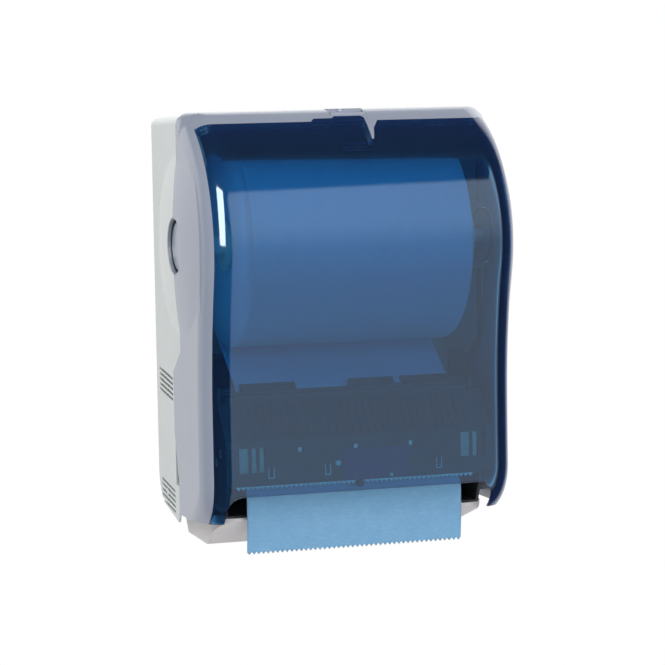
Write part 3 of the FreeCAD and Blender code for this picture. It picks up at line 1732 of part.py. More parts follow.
def make_battery_box():
    wall = s.battery_box_wall
    half = s.battery_box_half_width
    rear = s.back_wall
    floor = s.frame_top
    outer = block(
        "battery_outer", (-half, half), (-s.battery_box_depth, -rear), (floor, s.battery_box_top)
    )
    inner = block(
        "battery_inner",
        (-(half - wall), half - wall),
        (-(s.battery_box_depth - wall), -(rear + wall)),
        (floor + wall, s.battery_box_top),
    )
    tray = cut("battery_tray", outer, inner)
    hinge_depth = rear + s.lid_hinge_inset
    hinge_height = s.battery_box_top + s.lid_thickness / 2
    ears = []
    for side in (-1, 1):
        edge = side * (half - s.lid_ear)
        low, high = (edge, side * half) if side > 0 else (side * half, edge)
        ears.append(
            block(
                "lid_ear",
                (low, high),
                (-(hinge_depth + s.lid_thickness), -rear),
                (s.battery_box_top, hinge_height + s.lid_thickness),
            )
        )
    tray = fuse("battery_tray_with_ears", tray, *ears)
    holes = rod(
        "lid_pin_bore", "X", -(half + wall), half + wall, -hinge_depth, hinge_height,
        s.lid_pin_radius + s.running_gap,
    )
    node(cut("battery_box_form", tray, holes), "battery_box")
    leaf_half = half - s.lid_ear - s.fit_gap
    leaf = block(
        "lid_leaf",
        (-leaf_half, leaf_half),
        (-s.battery_box_depth, -hinge_depth),
        (s.battery_box_top, s.battery_box_top + s.lid_thickness),
    )
    roll = rod(
        "lid_roll", "X", -leaf_half, leaf_half, -hinge_depth, hinge_height, s.lid_thickness / 2
    )
    pin = rod("lid_pin", "X", -half, half, -hinge_depth, hinge_height, s.lid_pin_radius)
    lift = rod(
        "lid_lift", "X", -s.lid_ear, s.lid_ear, -(s.battery_box_depth - s.lid_thickness),
        s.battery_box_top + s.lid_thickness, s.lid_thickness / 2,
    )
    node(fuse("lid_form", leaf, roll, pin, lift), "battery_lid")
    cells = []
    bed = floor + wall + s.cell_radius
    for k in range(4):
        low = (k - 2) * s.cell_length
        body = rod(
            "cell_can", "X", low, low + s.cell_length - 2 * wall, -s.cell_depth, bed,
            s.cell_radius,
        )
        cap = rod(
            "cell_cap", "X", low + s.cell_length - 2 * wall, low + s.cell_length,
            -s.cell_depth, bed, s.cell_radius / 3,
        )
        cells.append(fuse("cell", body, cap))
    node(group("cell_row", *cells), "battery_cells")
    contacts = []
    for side in (-1, 1):
        near = 2 * s.cell_length
        far = half - wall
        low, high = (near, far) if side > 0 else (-far, -near)
        contacts.append(
            rod("contact", "X", low, high, -s.cell_depth, bed, s.cell_radius / 2)
        )
    node(group("contact_pair", *contacts), "battery_contacts")


def make_nose():
    # A light tray under the mechanism: rounded front corners, a front that leans back towards
    # its bottom and a right end that leans in.
    wall = s.nose_wall
    back = s.floor_lip + s.fit_gap

    def tray(name, inset, half, top):
        front = s.nose_front - inset
        bottom = s.nose_bottom + inset
        corner = s.nose_corner - inset
        side = prism(
            name + "_side",
            "YZ",
            -half,
            half,
            [
                (-(back + inset), top),
                (-front, top),
                (-front, s.leg_bottom),
                (-(front - s.nose_front_slope), bottom),
                (-(back + s.nose_back_slope + inset), bottom),
            ],
        )
        plan = prism(
            name + "_plan",
            "XY",
            bottom,
            top,
            [
                (-half, -(back + inset)),
                (-half, -(front - corner), corner),
                (-(half - corner), -front),
                (half - corner, -front, corner),
                (half, -(front - corner)),
                (half, -(back + inset)),
            ],
        )
        face = prism(
            name + "_face",
            "XZ",
            back + inset,
            front,
            [
                (-half, top),
                (half, top),
                (half, s.leg_bottom),
                (half - s.nose_end_slope, bottom),
                (-half, bottom),
            ],
        )
        return common(name, side, plan, face)

    outer = tray("nose_outer", dim(0), s.nose_half_width, s.frame_bottom)
    inner = tray("nose_inner", wall, s.nose_half_width - wall, s.frame_bottom + wall)
    node(cut("nose_form", outer, inner), "chute_nose")


def strip(name, path, half_width, thickness):
    # A sheet that follows a bent line in the YZ plane; corners are mitred.
    sides = []
    for sign in (1, -1):
        points = []
        for k, (y, z) in enumerate(path):
            before = path[max(k - 1, 0)]
            after = path[min(k + 1, len(path) - 1)]
            normals = []
            for first, second in ((before, (y, z)), ((y, z), after)):
                dy, dz = second[0] - first[0], second[1] - first[1]
                length = root(dy * dy + dz * dz)
                if length.value > 0:
                    normals.append((-dz / length, dy / length))
            ny = sum((n[0] for n in normals), dim(0)) / len(normals)
            nz = sum((n[1] for n in normals), dim(0)) / len(normals)
            scale = sign * thickness / 2 / (ny * ny + nz * nz)
            points.append((y + ny * scale, z + nz * scale))
        sides.append(points)
    return prism(name, "YZ", -half_width, half_width, sides[0] + sides[1][::-1])


def make_paper():
    half = s.roll_width / 2
    nip = (-nip_depth, nip_height)
    lead = s.web_bend_depth - nip_depth
    approach = (-s.web_bend_depth, nip_height - lead * cosine(s.nip_angle) / sine(s.nip_angle))
    along = (s.tail_depth - nip_depth) / sine(s.nip_angle)
    exit_height = nip_height - along * cosine(s.nip_angle)
    path = [
        (-web_start_depth, web_start_height),
        (-s.web_bend_depth, web_bend_height),
        approach,
        nip,
        (-s.tail_depth, exit_height),
        (-s.tail_depth, exit_height - s.tail_joint),
    ]
    node(strip("web_strip", path, half, s.paper_thickness), "paper_web")
    tail = strip(
        "tail_strip",
        [
            (-s.tail_depth, path[-1][1]),
            (-s.tail_depth, (exit_height + s.tail_bottom) / 2),
            (-(s.tail_depth - s.tail_curl), s.tail_bottom),
        ],
        half,
        s.paper_thickness,
    )
    count = int(s.roll_width.value / s.tail_tooth_pitch.value + 0.5)
    pitch = s.roll_width / count
    notches = new_sketch(
        tail,
        "XZ",
        s.tail_depth + s.tail_curl,
        [
            [
                (-half, s.tail_bottom - s.tail_tooth_height),
                (-half + pitch, s.tail_bottom - s.tail_tooth_height),
                (-half + pitch / 2, s.tail_bottom + s.tail_tooth_height),
            ]
        ],
    )
    first = pocket(tail, notches, 3 * s.tail_curl)
    line_pattern(tail, [first], "X", (count - 1) * pitch, count)
    node(tail, "towel_tail")


def make_transfer_bar():
    # Swings on its own rod across the frame; its flat feet rest on the web.
    up = s.bar_foot * sine(s.web_slope)
    back = s.bar_foot * cosine(s.web_slope)
    half = s.bar_radius / 2 / cosine(s.web_slope)
    pieces = [
        rod(
            "bar_rod", "X", -s.frame_half_width, s.frame_half_width, -s.bar_depth,
            bar_height, s.bar_radius,
        )
    ]
    for left, right in (
        (s.left_foot_start, s.left_foot_end),
        (s.middle_foot_start, s.middle_foot_end),
        (s.right_foot_start, s.right_foot_end),
    ):
        pieces.append(
            prism(
                "bar_foot",
                "YZ",
                left,
                right,
                [
                    (-s.bar_depth, bar_height - half),
                    (-s.bar_depth, bar_height + half),
                    (-(s.bar_depth - back), bar_height + half + up),
                    (-(s.bar_depth - back), bar_height - half + up),
                ],
            )
        )
    pieces.append(
        rod(
            "bar_knob", "Z", bar_height, bar_height + 4 * s.bar_radius, s.bar_knob_x,
            -s.bar_depth, s.bar_radius,
        )
    )
    node(fuse("bar_form", *pieces), "transfer_bar")


def make_latch(cover_inner):
    gap = s.fit_gap
    wall = s.latch_cup_wall
    left, right = s.latch_left, s.latch_right
    front, rear = s.latch_front, s.latch_rear
    middle = (front + rear) / 2
    # Cup under the cover's top, with an apron that comes down in front of the roll.
    outer = block(
        "cup_outer",
        (left - gap - wall, right + gap + wall),
        (-(front + gap + wall), -(rear - gap - wall)),
        (s.latch_cup_bottom, s.cover_top),
    )
    room = block(
        "cup_room",
        (left - gap, right + gap),
        (-(front + gap), -(rear - gap)),
        (s.latch_cup_bottom + wall, s.cover_top),
    )
    slot = block(
        "cup_slot",
        (s.tongue_left - gap, s.tongue_right + gap),
        (-rear, -(rear - gap - 2 * wall)),
        (s.latch_bottom - s.latch_travel, s.latch_bottom + s.tongue_rise + 2 * s.tongue_thickness),
    )
    cup = cut("cup_form", outer, room, slot)
    root_depth = front + gap + wall
    apron = prism(
        "cup_apron",
        "YZ",
        s.apron_left,
        s.apron_right,
        [
            (-root_depth, s.latch_cup_bottom),
            (-root_depth, s.latch_cup_bottom + wall),
            (-(s.apron_front - wall), s.apron_bottom + wall),
            (-(s.apron_front - wall), s.cover_top),
            (-s.apron_front, s.cover_top),
            (-s.apron_front, s.apron_bottom),
        ],
    )
    cup = common("cup_under_cover", fuse("cup_with_apron", cup, apron), cover_inner)
    node(cup, "latch_cup")
    # Push button with its tongue; the tongue lies behind the lip of the strike.
    cap = block(
        "button_block", (left, right), (-front, -rear), (s.latch_bottom, s.latch_top)
    )
    slope = block(
        "button_slope_cut",
        (left - wall, right + wall),
        (-(front + wall), -(middle - wall)),
        (s.latch_top - s.button_slope, s.latch_top + wall),
    )
    tongue_low = s.latch_bottom + s.tongue_rise
    tongue_high = tongue_low + s.tongue_thickness
    tongue = block(
        "tongue", (s.tongue_left, s.tongue_right), (-rear, -s.tongue_tip), (tongue_low, tongue_high)
    )
    barb_front = s.strike_depth - s.barb_clearance
    barb = block(
        "barb",
        (s.tongue_left, s.tongue_right),
        (-barb_front, -s.tongue_tip),
        (tongue_high, s.strike_edge + s.barb_bite),
    )
    bore = rod(
        "lock_bore", "Z", s.latch_bottom, s.latch_top, s.lock_x, -middle,
        s.lock_radius + s.running_gap,
    )
    button = cut("latch_button_form", cap, slope, bore)
    node(fuse("latch_button_with_tongue", button, tongue, barb), "latch_button")
    cam_low = s.cam_top - s.cam_thickness
    lock = rod(
        "lock_barrel", "Z", s.cam_top, s.latch_top - s.button_slope, s.lock_x, -middle,
        s.lock_radius,
    )
    cam = block(
        "lock_cam",
        (s.lock_x - s.cam_length / 2, s.lock_x + s.cam_length / 2),
        (-(middle + s.cam_width / 2), -(middle - s.cam_width / 2)),
        (cam_low, s.cam_top),
    )
    key = block(
        "key_slot",
        (s.lock_x - s.lock_radius / 2, s.lock_x + s.lock_radius / 2),
        (-(middle + gap * 2), -(middle - gap * 2)),
        (s.latch_top - s.button_slope - wall, s.latch_top),
    )
    node(cut("lock_form", fuse("lock_with_cam", lock, cam), key), "lock_cylinder")
    # Return spring between the cup floor and the button.
    height = s.latch_bottom - s.latch_cup_bottom - wall
    length = height - 2 * s.spring_wire - 2 * gap
    pitch = length / s.spring_turns
    helix = Part.makeHelix(pitch.value, length.value, s.spring_radius.value)
    path = Part.Wire(helix.Edges)
    section = Part.Wire(
        Part.makeCircle(
            s.spring_wire.value / 2, Vector(s.spring_radius.value, 0, 0), Vector(0, 1, 0)
        )
    )
    wire = doc.addObject("Part::Feature", "spring_wire")
    wire.Shape = path.makePipeShell([section], True, True)
    place(
        wire,
        s.spring_x,
        -middle,
        s.latch_cup_bottom + wall + s.spring_wire + gap,
    )
    node(wire, "latch_spring")
    # Strike under the front edge of the housing's top.
    rise = (s.housing_top_at_split - s.housing_top_at_wall) / housing_split
    ceiling = s.housing_top_at_wall + rise * s.strike_root - s.housing_wall
    plate = block(
        "strike_plate",
        (s.tongue_left - 2 * wall, s.tongue_right + 2 * wall),
        (-(s.strike_depth + s.strike_thickness), -s.strike_root),
        (ceiling - s.strike_thickness, ceiling),
    )
    lip = block(
        "strike_lip",
        (s.tongue_left - 2 * wall, s.tongue_right + 2 * wall),
        (-(s.strike_depth + s.strike_thickness), -s.strike_depth),
        (s.strike_edge, ceiling),
    )
    node(fuse("strike_form", plate, lip), "latch_strike")


make_roll()
make_arms()
make_frame()
make_hood()
make_tear_bar()
make_rollers()
make_drive()
make_gear_cover()
make_board()
make_battery_box()
make_nose()
make_paper()
make_transfer_bar()
cover_inner = make_cover()
make_housing()
make_hinge_pins()
make_latch(cover_inner)


def write_parts():
    for feature in doc.Objects:
        if "Invalid" in feature.State or "Error" in feature.State:
            raise RuntimeError(f"{feature.Name} did not compute")
    os.makedirs("parts", exist_ok=True)
    for feature in nodes:
        shape = feature.Shape
        if shape.isNull() or not shape.isValid():
            raise RuntimeError(f"{feature.Label} has no valid shape")
        shape.exportStep(f"parts/{feature.Label}.step")
        print(feature.Label, len(shape.Solids), round(shape.Volume), shape.BoundBox)


doc.recompute()
write_parts()
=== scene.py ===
import bmesh
import bpy
import math
from mathutils import Euler, Matrix, Vector, noise


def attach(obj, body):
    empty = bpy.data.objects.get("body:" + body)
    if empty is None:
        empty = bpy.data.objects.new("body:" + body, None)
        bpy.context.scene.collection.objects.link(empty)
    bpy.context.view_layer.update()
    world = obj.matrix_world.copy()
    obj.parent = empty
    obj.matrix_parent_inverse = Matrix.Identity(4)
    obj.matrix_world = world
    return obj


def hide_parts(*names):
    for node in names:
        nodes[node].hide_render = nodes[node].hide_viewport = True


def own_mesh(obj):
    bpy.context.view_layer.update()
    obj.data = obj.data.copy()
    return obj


# A wall-mounted roll towel dispenser with a smoke-blue window, dressed around its CAD frame.
# Metres; the wall is Y = 0 and the user stands at -Y.

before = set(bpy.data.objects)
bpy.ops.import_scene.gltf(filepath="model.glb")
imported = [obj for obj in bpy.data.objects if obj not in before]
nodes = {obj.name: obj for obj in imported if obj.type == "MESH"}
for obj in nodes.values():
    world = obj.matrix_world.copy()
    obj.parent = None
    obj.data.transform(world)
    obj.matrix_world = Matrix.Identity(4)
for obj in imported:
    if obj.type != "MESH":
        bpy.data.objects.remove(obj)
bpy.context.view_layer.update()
print("frame loaded:", len(nodes), "nodes")

mm = 0.001


def hexLinear(text, alpha=1.0):
    # An sRGB hex colour as the linear values that the shaders take
    text = text.lstrip("#")
    parts = [int(text[k:k + 2], 16) / 255 for k in (0, 2, 4)]
    linear = [c / 12.92 if c <= 0.04045 else ((c + 0.055) / 1.055) ** 2.4 for c in parts]
    return (*linear, alpha)


def addNode(tree, kind, settings=None, inputs=None, links=None):
    # settings are node properties, inputs are socket values, links are socket: source socket
    n = tree.nodes.new(kind)
    for key, value in (settings or {}).items():
        setattr(n, key, value)
    for key, value in (inputs or {}).items():
        n.inputs[key].default_value = value
    for key, source in (links or {}).items():
        tree.links.new(source, n.inputs[key])
    return n


# ---- camera, from the photograph's edges

shot = {
    "place": (-0.9236, -3.0767, 0.2857),
    "target": (-0.0024, -0.1200, -0.03895),
    "roll": -0.965,         # degrees
    "focalPixels": 2716.8,
    "framePixels": 665,
    "sensorMm": 36.0,
    "farthest": 60,
}


def makeCamera():
    data = bpy.data.cameras.new("camera")
    data.sensor_fit = "HORIZONTAL"
    data.sensor_width = shot["sensorMm"]
    data.lens = shot["focalPixels"] / shot["framePixels"] * shot["sensorMm"]
    data.clip_end = shot["farthest"]
    camera = bpy.data.objects.new("camera", data)
    bpy.context.scene.collection.objects.link(camera)
    place = Vector(shot["place"])
    aim = (Vector(shot["target"]) - place).to_track_quat("-Z", "Y")
    spin = Euler((0, 0, math.radians(shot["roll"]))).to_quaternion()
    camera.location = place
    camera.rotation_mode = "QUATERNION"
    camera.rotation_quaternion = aim @ spin
    bpy.context.scene.camera = camera


makeCamera()
print("camera set")


# ---- materials

def newMaterial(name):
    m = bpy.data.materials.new(name)
    m.use_nodes = True
    m.node_tree.nodes.clear()
    return m, m.node_tree


def finishMaterial(tree, shader):
    addNode(tree, "ShaderNodeOutputMaterial", links={"Surface": shader})


def addPlace(tree, kind="Object"):
    return addNode(tree, "ShaderNodeTexCoord").outputs[kind]


def addNoise(tree, where, sizeMm, detail):
    # A noise whose spots are about sizeMm across
    return addNode(
        tree, "ShaderNodeTexNoise", inputs={"Scale": 1 / (sizeMm * mm), "Detail": detail},
        links={"Vector": where},
    ).outputs["Fac"]


def addStretch(tree, where, scale):
    return addNode(
        tree, "ShaderNodeMapping", inputs={"Scale": scale}, links={"Vector": where}
    ).outputs["Vector"]


def splitTerms(keys, terms):
    # Sorts terms into socket values and source sockets
    inputs, links = {}, {}
    for key, term in zip(keys, terms):
        isSource = isinstance(term, bpy.types.NodeSocket)
        (links if isSource else inputs)[key] = term
    return inputs, links


def addRange(tree, value, results, limits=(0.0, 1.0)):
    # Goes from the first result to the second while value passes from limit to limit
    inputs, links = splitTerms(
        ("Value", "From Min", "From Max", "To Min", "To Max"), (value, *limits, *results)
    )
    return addNode(tree, "ShaderNodeMapRange", None, inputs, links).outputs["Result"]


def addMath(tree, operation, *terms):
    inputs, links = splitTerms((0, 1), terms)
    return addNode(
        tree, "ShaderNodeMath", {"operation": operation}, inputs, links
    ).outputs["Value"]


def addMix(tree, factor, first, second, kind="RGBA"):
    # From the first colour or value to the second as factor rises
    inputs, links = splitTerms(("Factor", "A", "B"), (factor, first, second))
    return addNode(tree, "ShaderNodeMix", {"data_type": kind}, inputs, links).outputs["Result"]


def addBump(tree, height, strength, depthMm):
    return addNode(
        tree, "ShaderNodeBump", inputs={"Strength": strength, "Distance": depthMm * mm},
        links={"Height": height},
    ).outputs["Normal"]


def addPrincipled(tree, values, links):
    return addNode(
        tree, "ShaderNodeBsdfPrincipled", inputs=values, links=links
    ).outputs["BSDF"]


mouldSkin = {
    "roughSpread": (-0.04, 0.06),   # what the grain takes from and adds to the roughness
    "depthMm": 0.2,
    "mottleDetail": 3.0,
    "grainDetail": 2.0,
    "ior": 1.53,
}


def mouldedPlastic(name, look):
    # Injection-moulded plastic: an even colour, a faint flow mottle, and the fine spark-eroded
    # grain of the mould that breaks up its gloss
    m, t = newMaterial(name)
    where = addPlace(t)
    mottle = addNoise(t, where, look["mottleMm"], mouldSkin["mottleDetail"])
    grain = addNoise(t, where, look["grainMm"], mouldSkin["grainDetail"])
    colour = addMix(t, mottle, hexLinear(look["colour"]), hexLinear(look["shade"]))
    rough = addRange(t, grain, [look["rough"] + change for change in mouldSkin["roughSpread"]])
    bump = addBump(t, grain, look["grain"], mouldSkin["depthMm"])
    finishMaterial(t, addPrincipled(
        t, {"IOR": look.get("ior", mouldSkin["ior"])},
        {"Base Color": colour, "Roughness": rough, "Normal": bump},
    ))
    return m


plasticLooks = {
    # Housing: pale grey ABS, satin from a lightly grained mould
    "housingAbs": {"colour": "#cdd3d2", "shade": "#c5cccc", "rough": 0.22, "grain": 0.10,
                   "grainMm": 0.9, "mottleMm": 60},
    # Cover frame: pearl-grey ABS, a little smoother and bluer
    "coverAbs": {"colour": "#9aa1b1", "shade": "#939bad", "rough": 0.20, "grain": 0.06,
                 "grainMm": 0.8, "mottleMm": 70},
    # Working parts: black ABS with a coarse grain, grey with paper dust
    "blackAbs": {"colour": "#2a2d32", "shade": "#3a3e44", "rough": 0.50, "grain": 0.25,
                 "grainMm": 1.2, "mottleMm": 25},
    # Roll arms, hubs, feed button and clip liners: grey acetal, waxy
    "greyAcetal": {"colour": "#b7bec6", "shade": "#aeb6bf", "rough": 0.38, "grain": 0.05,
                   "grainMm": 1.0, "mottleMm": 30},
    # Nose under the mechanism: off-white ABS, with the floor's warm bounce light painted into its
    # colour
    "noseAbs": {"colour": "#dcd8d9", "shade": "#d2cdd0", "rough": 0.40, "grain": 0.10,
                "grainMm": 1.0, "mottleMm": 40},
    # Gears and bushes: natural acetal, milky and slightly glossy
    "naturalAcetal": {"colour": "#e8e4d8", "shade": "#dedacd", "rough": 0.32, "grain": 0.04,
                      "grainMm": 0.8, "mottleMm": 15},
    # Sensor and lamp windows: dark red infra-red filter plastic and clear green lamp cap
    "filterAcrylic": {"colour": "#1a0d16", "shade": "#22111c", "rough": 0.08, "grain": 0.0,
                      "grainMm": 1.0, "mottleMm": 10, "ior": 1.49},
    "lampAcrylic": {"colour": "#7fd09a", "shade": "#74c48f", "rough": 0.15, "grain": 0.0,
                    "grainMm": 1.0, "mottleMm": 5, "ior": 1.49},
    # Feed sleeves: black nitrile rubber, ground dull
    "nitrileRubber": {"colour": "#15161a", "shade": "#1e2024", "rough": 0.75, "grain": 0.5,
                      "grainMm": 0.7, "mottleMm": 12},
    # Cells: printed shrink sleeve in plain dark grey
    "shrinkSleeve": {"colour": "#30343a", "shade": "#282c32", "rough": 0.22, "grain": 0.02,
                     "grainMm": 1.0, "mottleMm": 20},
    # Cup under the latch button: dark navy ABS, hardly seen through the window
    "navyAbs": {"colour": "#232f52", "shade": "#1f2a4a", "rough": 0.30, "grain": 0.10,
                "grainMm": 0.9, "mottleMm": 20},
    # Sensor panel: slate-violet ABS, smooth
    "slateAbs": {"colour": "#2f3563", "shade": "#2a305c", "rough": 0.35, "grain": 0.08,
                 "grainMm": 0.9, "mottleMm": 30},
    # Light guides behind the hood's openings: milky acrylic
    "milkAcrylic": {"colour": "#f2f2f0", "shade": "#e8e9e8", "rough": 0.35, "grain": 0.02,
                    "grainMm": 1.0, "mottleMm": 12, "ior": 1.49},
    "frostAcrylic": {"colour": "#b9b3ad", "shade": "#9c9690", "rough": 0.35, "grain": 0.02,
                     "grainMm": 1.0, "mottleMm": 9, "ior": 1.49},
    # Tear bar: stainless strip, bead-blasted to a pale satin
    "blastedSteel": {"colour": "#d5dbe2", "shade": "#c9d0d8", "rough": 0.45, "grain": 0.2,
                     "grainMm": 0.5, "mottleMm": 10, "ior": 2.0},
    # Black foam, open and dull, in strips and backing behind the split line, the wedge and the
    # louvres: it stops light through those gaps and paints the shade seen in them
    "shadeBlackFoam": {"colour": "#101216", "shade": "#1b1e24", "rough": 0.9, "grain": 0.8,
                   "grainMm": 0.9, "mottleMm": 6},
    # Circuit board: green solder mask over glass laminate
    "solderMask": {"colour": "#14512f", "shade": "#104628", "rough": 0.30, "grain": 0.15,
                   "grainMm": 0.8, "mottleMm": 6},
}
finishes = {name: mouldedPlastic(name, look) for name, look in plasticLooks.items()}

windowLook = {
    "face": "#8cd3ec",      # tint of each of the two skins, seen straight through
    "edge": "#1c4c9c",      # tint seen along the skin, through more plastic
    "lit": "#fafcfd",       # what a skin takes from the light that falls through it
    "haze": "#1056b0",      # light that the pigment in the plastic sends back
    "hazeShare": (0.045, 0.48),     # its part straight on and along the skin
    "ior": 1.585,
    "smearMm": 4.0,         # faint smears in the polish
    "smearDetail": 2.0,
    "rough": (0.05, 0.10),
}


def smokePolycarbonate():
    # Moulded polycarbonate, tinted right through: it lets light pass in its own blue, darker
    # where the eye looks along the skin, under a hard polished gloss
    look = windowLook
    m, t = newMaterial("smokePolycarbonate")
    slant = addNode(t, "ShaderNodeLayerWeight").outputs["Facing"]
    tint = addMix(t, slant, hexLinear(look["face"]), hexLinear(look["edge"]))
    path = addNode(t, "ShaderNodeLightPath").outputs
    falling = addMath(t, "MAXIMUM", path["Is Shadow Ray"], path["Is Diffuse Ray"])
    passed = addMix(t, falling, tint, hexLinear(look["lit"]))
    clear = addNode(t, "ShaderNodeBsdfTransparent", links={"Color": passed}).outputs["BSDF"]
    pigment = addNode(
        t, "ShaderNodeBsdfDiffuse", inputs={"Color": hexLinear(look["haze"])}
    ).outputs["BSDF"]
    share = addRange(t, addMath(t, "MULTIPLY", slant, slant), look["hazeShare"])
    cloudy = addMath(t, "MULTIPLY", share, addMath(t, "SUBTRACT", 1.0, falling))
    through = addNode(
        t, "ShaderNodeMixShader", links={0: cloudy, 1: clear, 2: pigment}
    ).outputs["Shader"]
    smear = addNoise(t, addPlace(t), look["smearMm"], look["smearDetail"])
    gloss = addNode(
        t, "ShaderNodeBsdfGlossy", inputs={"Color": (1, 1, 1, 1)},
        links={"Roughness": addRange(t, smear, look["rough"])},
    ).outputs["BSDF"]
    mirror = addNode(t, "ShaderNodeFresnel", inputs={"IOR": look["ior"]}).outputs["Fac"]
    finishMaterial(t, addNode(
        t, "ShaderNodeMixShader", links={0: mirror, 1: through, 2: gloss}
    ).outputs["Shader"])
    return m


paperLook = {
    "colour": "#7fb2d6",
    "shade": "#6ca1ca",
    "cloudMm": 14,          # uneven fibre, seen against the light
    "cloudDetail": 5.0,
    "crepeMm": 1.6,         # crepe folds of a towel, drawn a little coarse to show
    "crepeDetail": 4.0,
    "crepeRun": (0.25, 1.0, 1.0),   # the folds lie across the towel, longer than wide
    "paintedFoldShade": "#6a9cc6",    # painted shade in the folds' bottoms
    "foldShadeShare": (0.45, 0.0),     # how much of the painted shade shows, from bottom to crest
    "foldShadeHeights": (0.40, 0.60),
    "foldDepthMm": 0.6,
    "rough": 0.85,
    "ior": 1.5,
    "sheen": 0.15,
    "sheenRough": 0.5,
}


def crepePaper():
    # Light-blue recycled towel: soft, matt and cloudy, crossed by the fine folds of its creping,
    # with shade painted into the folds' bottoms
    look = paperLook
    m, t = newMaterial("crepePaper")
    where = addPlace(t)
    cloud = addNoise(t, where, look["cloudMm"], look["cloudDetail"])
    crepe = addNoise(
        t, addStretch(t, where, look["crepeRun"]), look["crepeMm"], look["crepeDetail"]
    )
    colour = addMix(t, cloud, hexLinear(look["colour"]), hexLinear(look["shade"]))
    # painted shade: a darker colour where the crepe noise is low, in the bottoms of the folds
    foldShadeMask = addRange(t, crepe, look["foldShadeShare"], look["foldShadeHeights"])
    foldShaded = addMix(t, foldShadeMask, colour, hexLinear(look["paintedFoldShade"]))
    finishMaterial(t, addPrincipled(
        t, {"Roughness": look["rough"], "IOR": look["ior"], "Sheen Weight": look["sheen"],
            "Sheen Roughness": look["sheenRough"]},
        {"Base Color": foldShaded, "Normal": addBump(t, crepe, 1.0, look["foldDepthMm"])},
    ))
    return m


metalSkin = {
    "lineRun": 0.03,        # the lines' width as a share of their length
    "lineDetail": 3.0,
    "roughSpread": (-0.08, 0.10),
    "bump": 0.12,
    "depthMm": 0.1,
}


def workedMetal(name, look):
    # Drawn or rolled metal: fine lines along the way it was worked
    m, t = newMaterial(name)
    stretch = [1.0, 1.0, 1.0]
    stretch[look["along"]] = metalSkin["lineRun"]
    lines = addNoise(
        t, addStretch(t, addPlace(t), stretch), look["lineMm"], metalSkin["lineDetail"]
    )
    rough = addRange(t, lines, [look["rough"] + change for change in metalSkin["roughSpread"]])
    bump = addBump(t, lines, metalSkin["bump"], metalSkin["depthMm"])
    finishMaterial(t, addPrincipled(
        t, {"Base Color": hexLinear(look["colour"]), "Metallic": 1.0},
        {"Roughness": rough, "Normal": bump},
    ))
    return m


metalLooks = {
    # Shafts, pins and pressed parts: ground steel, its lines along X
    "groundSteel": {"colour": "#c3c5c8", "rough": 0.28, "lineMm": 0.9, "along": 0},
    # Lock barrel: zinc die casting under bright plate, its lines up the barrel
    "platedZinc": {"colour": "#b9bcc2", "rough": 0.25, "lineMm": 0.8, "along": 2},
}

boardLook = {
    "colour": "#a58e72",
    "shade": "#8c7458",
    "fibreMm": 2.0,
    "fibreDetail": 5.0,
    "bump": 0.3,
    "depthMm": 0.2,
    "rough": 0.9,
    "ior": 1.5,
}


def woundCardboard():
    # Grey-brown core board with fibre specks
    look = boardLook
    m, t = newMaterial("woundCardboard")
    fibre = addNoise(t, addPlace(t), look["fibreMm"], look["fibreDetail"])
    colour = addMix(t, fibre, hexLinear(look["colour"]), hexLinear(look["shade"]))
    finishMaterial(t, addPrincipled(
        t, {"Roughness": look["rough"], "IOR": look["ior"]},
        {"Base Color": colour, "Normal": addBump(t, fibre, look["bump"], look["depthMm"])},
    ))
    return m


finishes["smokePolycarbonate"] = smokePolycarbonate()
finishes["crepePaper"] = crepePaper()
finishes["woundCardboard"] = woundCardboard()
finishes.update({name: workedMetal(name, look) for name, look in metalLooks.items()})

nodeFinish = {
    "housingAbs": ["rear_housing"],
    "coverAbs": ["cover_frame", "right_hub_cap", "left_hub_cap", "latch_button"],
    "smokePolycarbonate": ["cover_window"],
    "blackAbs": ["module_frame", "mechanism_hood", "gear_cover", "battery_box", "battery_lid",
                 "pinch_roller", "transfer_bar"],
    "navyAbs": ["latch_cup"],
    "slateAbs": ["sensor_panel"],
    "greyAcetal": ["right_roll_arm", "left_roll_arm", "right_hub", "left_hub", "feed_button"],
    "noseAbs": ["chute_nose"],
    "naturalAcetal": ["feed_gear", "idler_gear", "motor_pinion", "roller_bushes"],
    "filterAcrylic": ["hand_sensor"],
    "lampAcrylic": ["status_lamp"],
    "nitrileRubber": ["feed_sleeves"],
    "shrinkSleeve": ["battery_cells"],
    "solderMask": ["circuit_board"],
    "crepePaper": ["towel_roll", "paper_web", "towel_tail"],
    "woundCardboard": ["roll_core"],
    "groundSteel": ["feed_shaft", "arm_pins", "hinge_pins", "motor_shaft", "drive_motor",
                    "latch_spring", "latch_strike", "battery_contacts"],
    "blastedSteel": ["tear_bar"],
    "platedZinc": ["lock_cylinder"],
}
for finish, names in nodeFinish.items():
    for name in names:
        slots = nodes[name].data.materials
        if len(slots) == 0:
            slots.append(finishes[finish])
        for k in range(len(slots)):
            slots[k] = finishes[finish]
print("materials made:", len(finishes))


# ---- pieces

def addPiece(name, mesh, finish, body, smooth=True):
    piece = bpy.data.objects.new(name, mesh)
    bpy.context.scene.collection.objects.link(piece)
    mesh.materials.clear()
    mesh.materials.append(finishes[finish])
    for face in mesh.polygons:
        face.use_smooth = smooth
    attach(piece, body)
    return piece


def meshFrom(name, verts, faces):
    mesh = bpy.data.meshes.new(name)
    mesh.from_pydata([tuple(v) for v in verts], [], faces)
    mesh.update()
    return mesh


woundRoll = {
    "axis": (-0.121, 0.067),
    "radius": 116.5 * mm,
    "coreRadius": 22 * mm,
    "halfWidth": 127 * mm,
    "layerStep": 1.9 * mm,      # each ridge on the ends stands for a few layers of towel
    "endWander": 0.7 * mm,      # how far the layers' edges lie in from the roll's end
    "driftShare": 0.75,         # its part that drifts slowly from layer to layer
    "driftPerMetre": 90,
    "sideSeed": 3.1,            # sets the two ends' drift apart
    "ridge": 0.25,              # the part that every other ridge adds
    "segments": 160,
    "sharpFrom": 40,            # degrees between faces
}


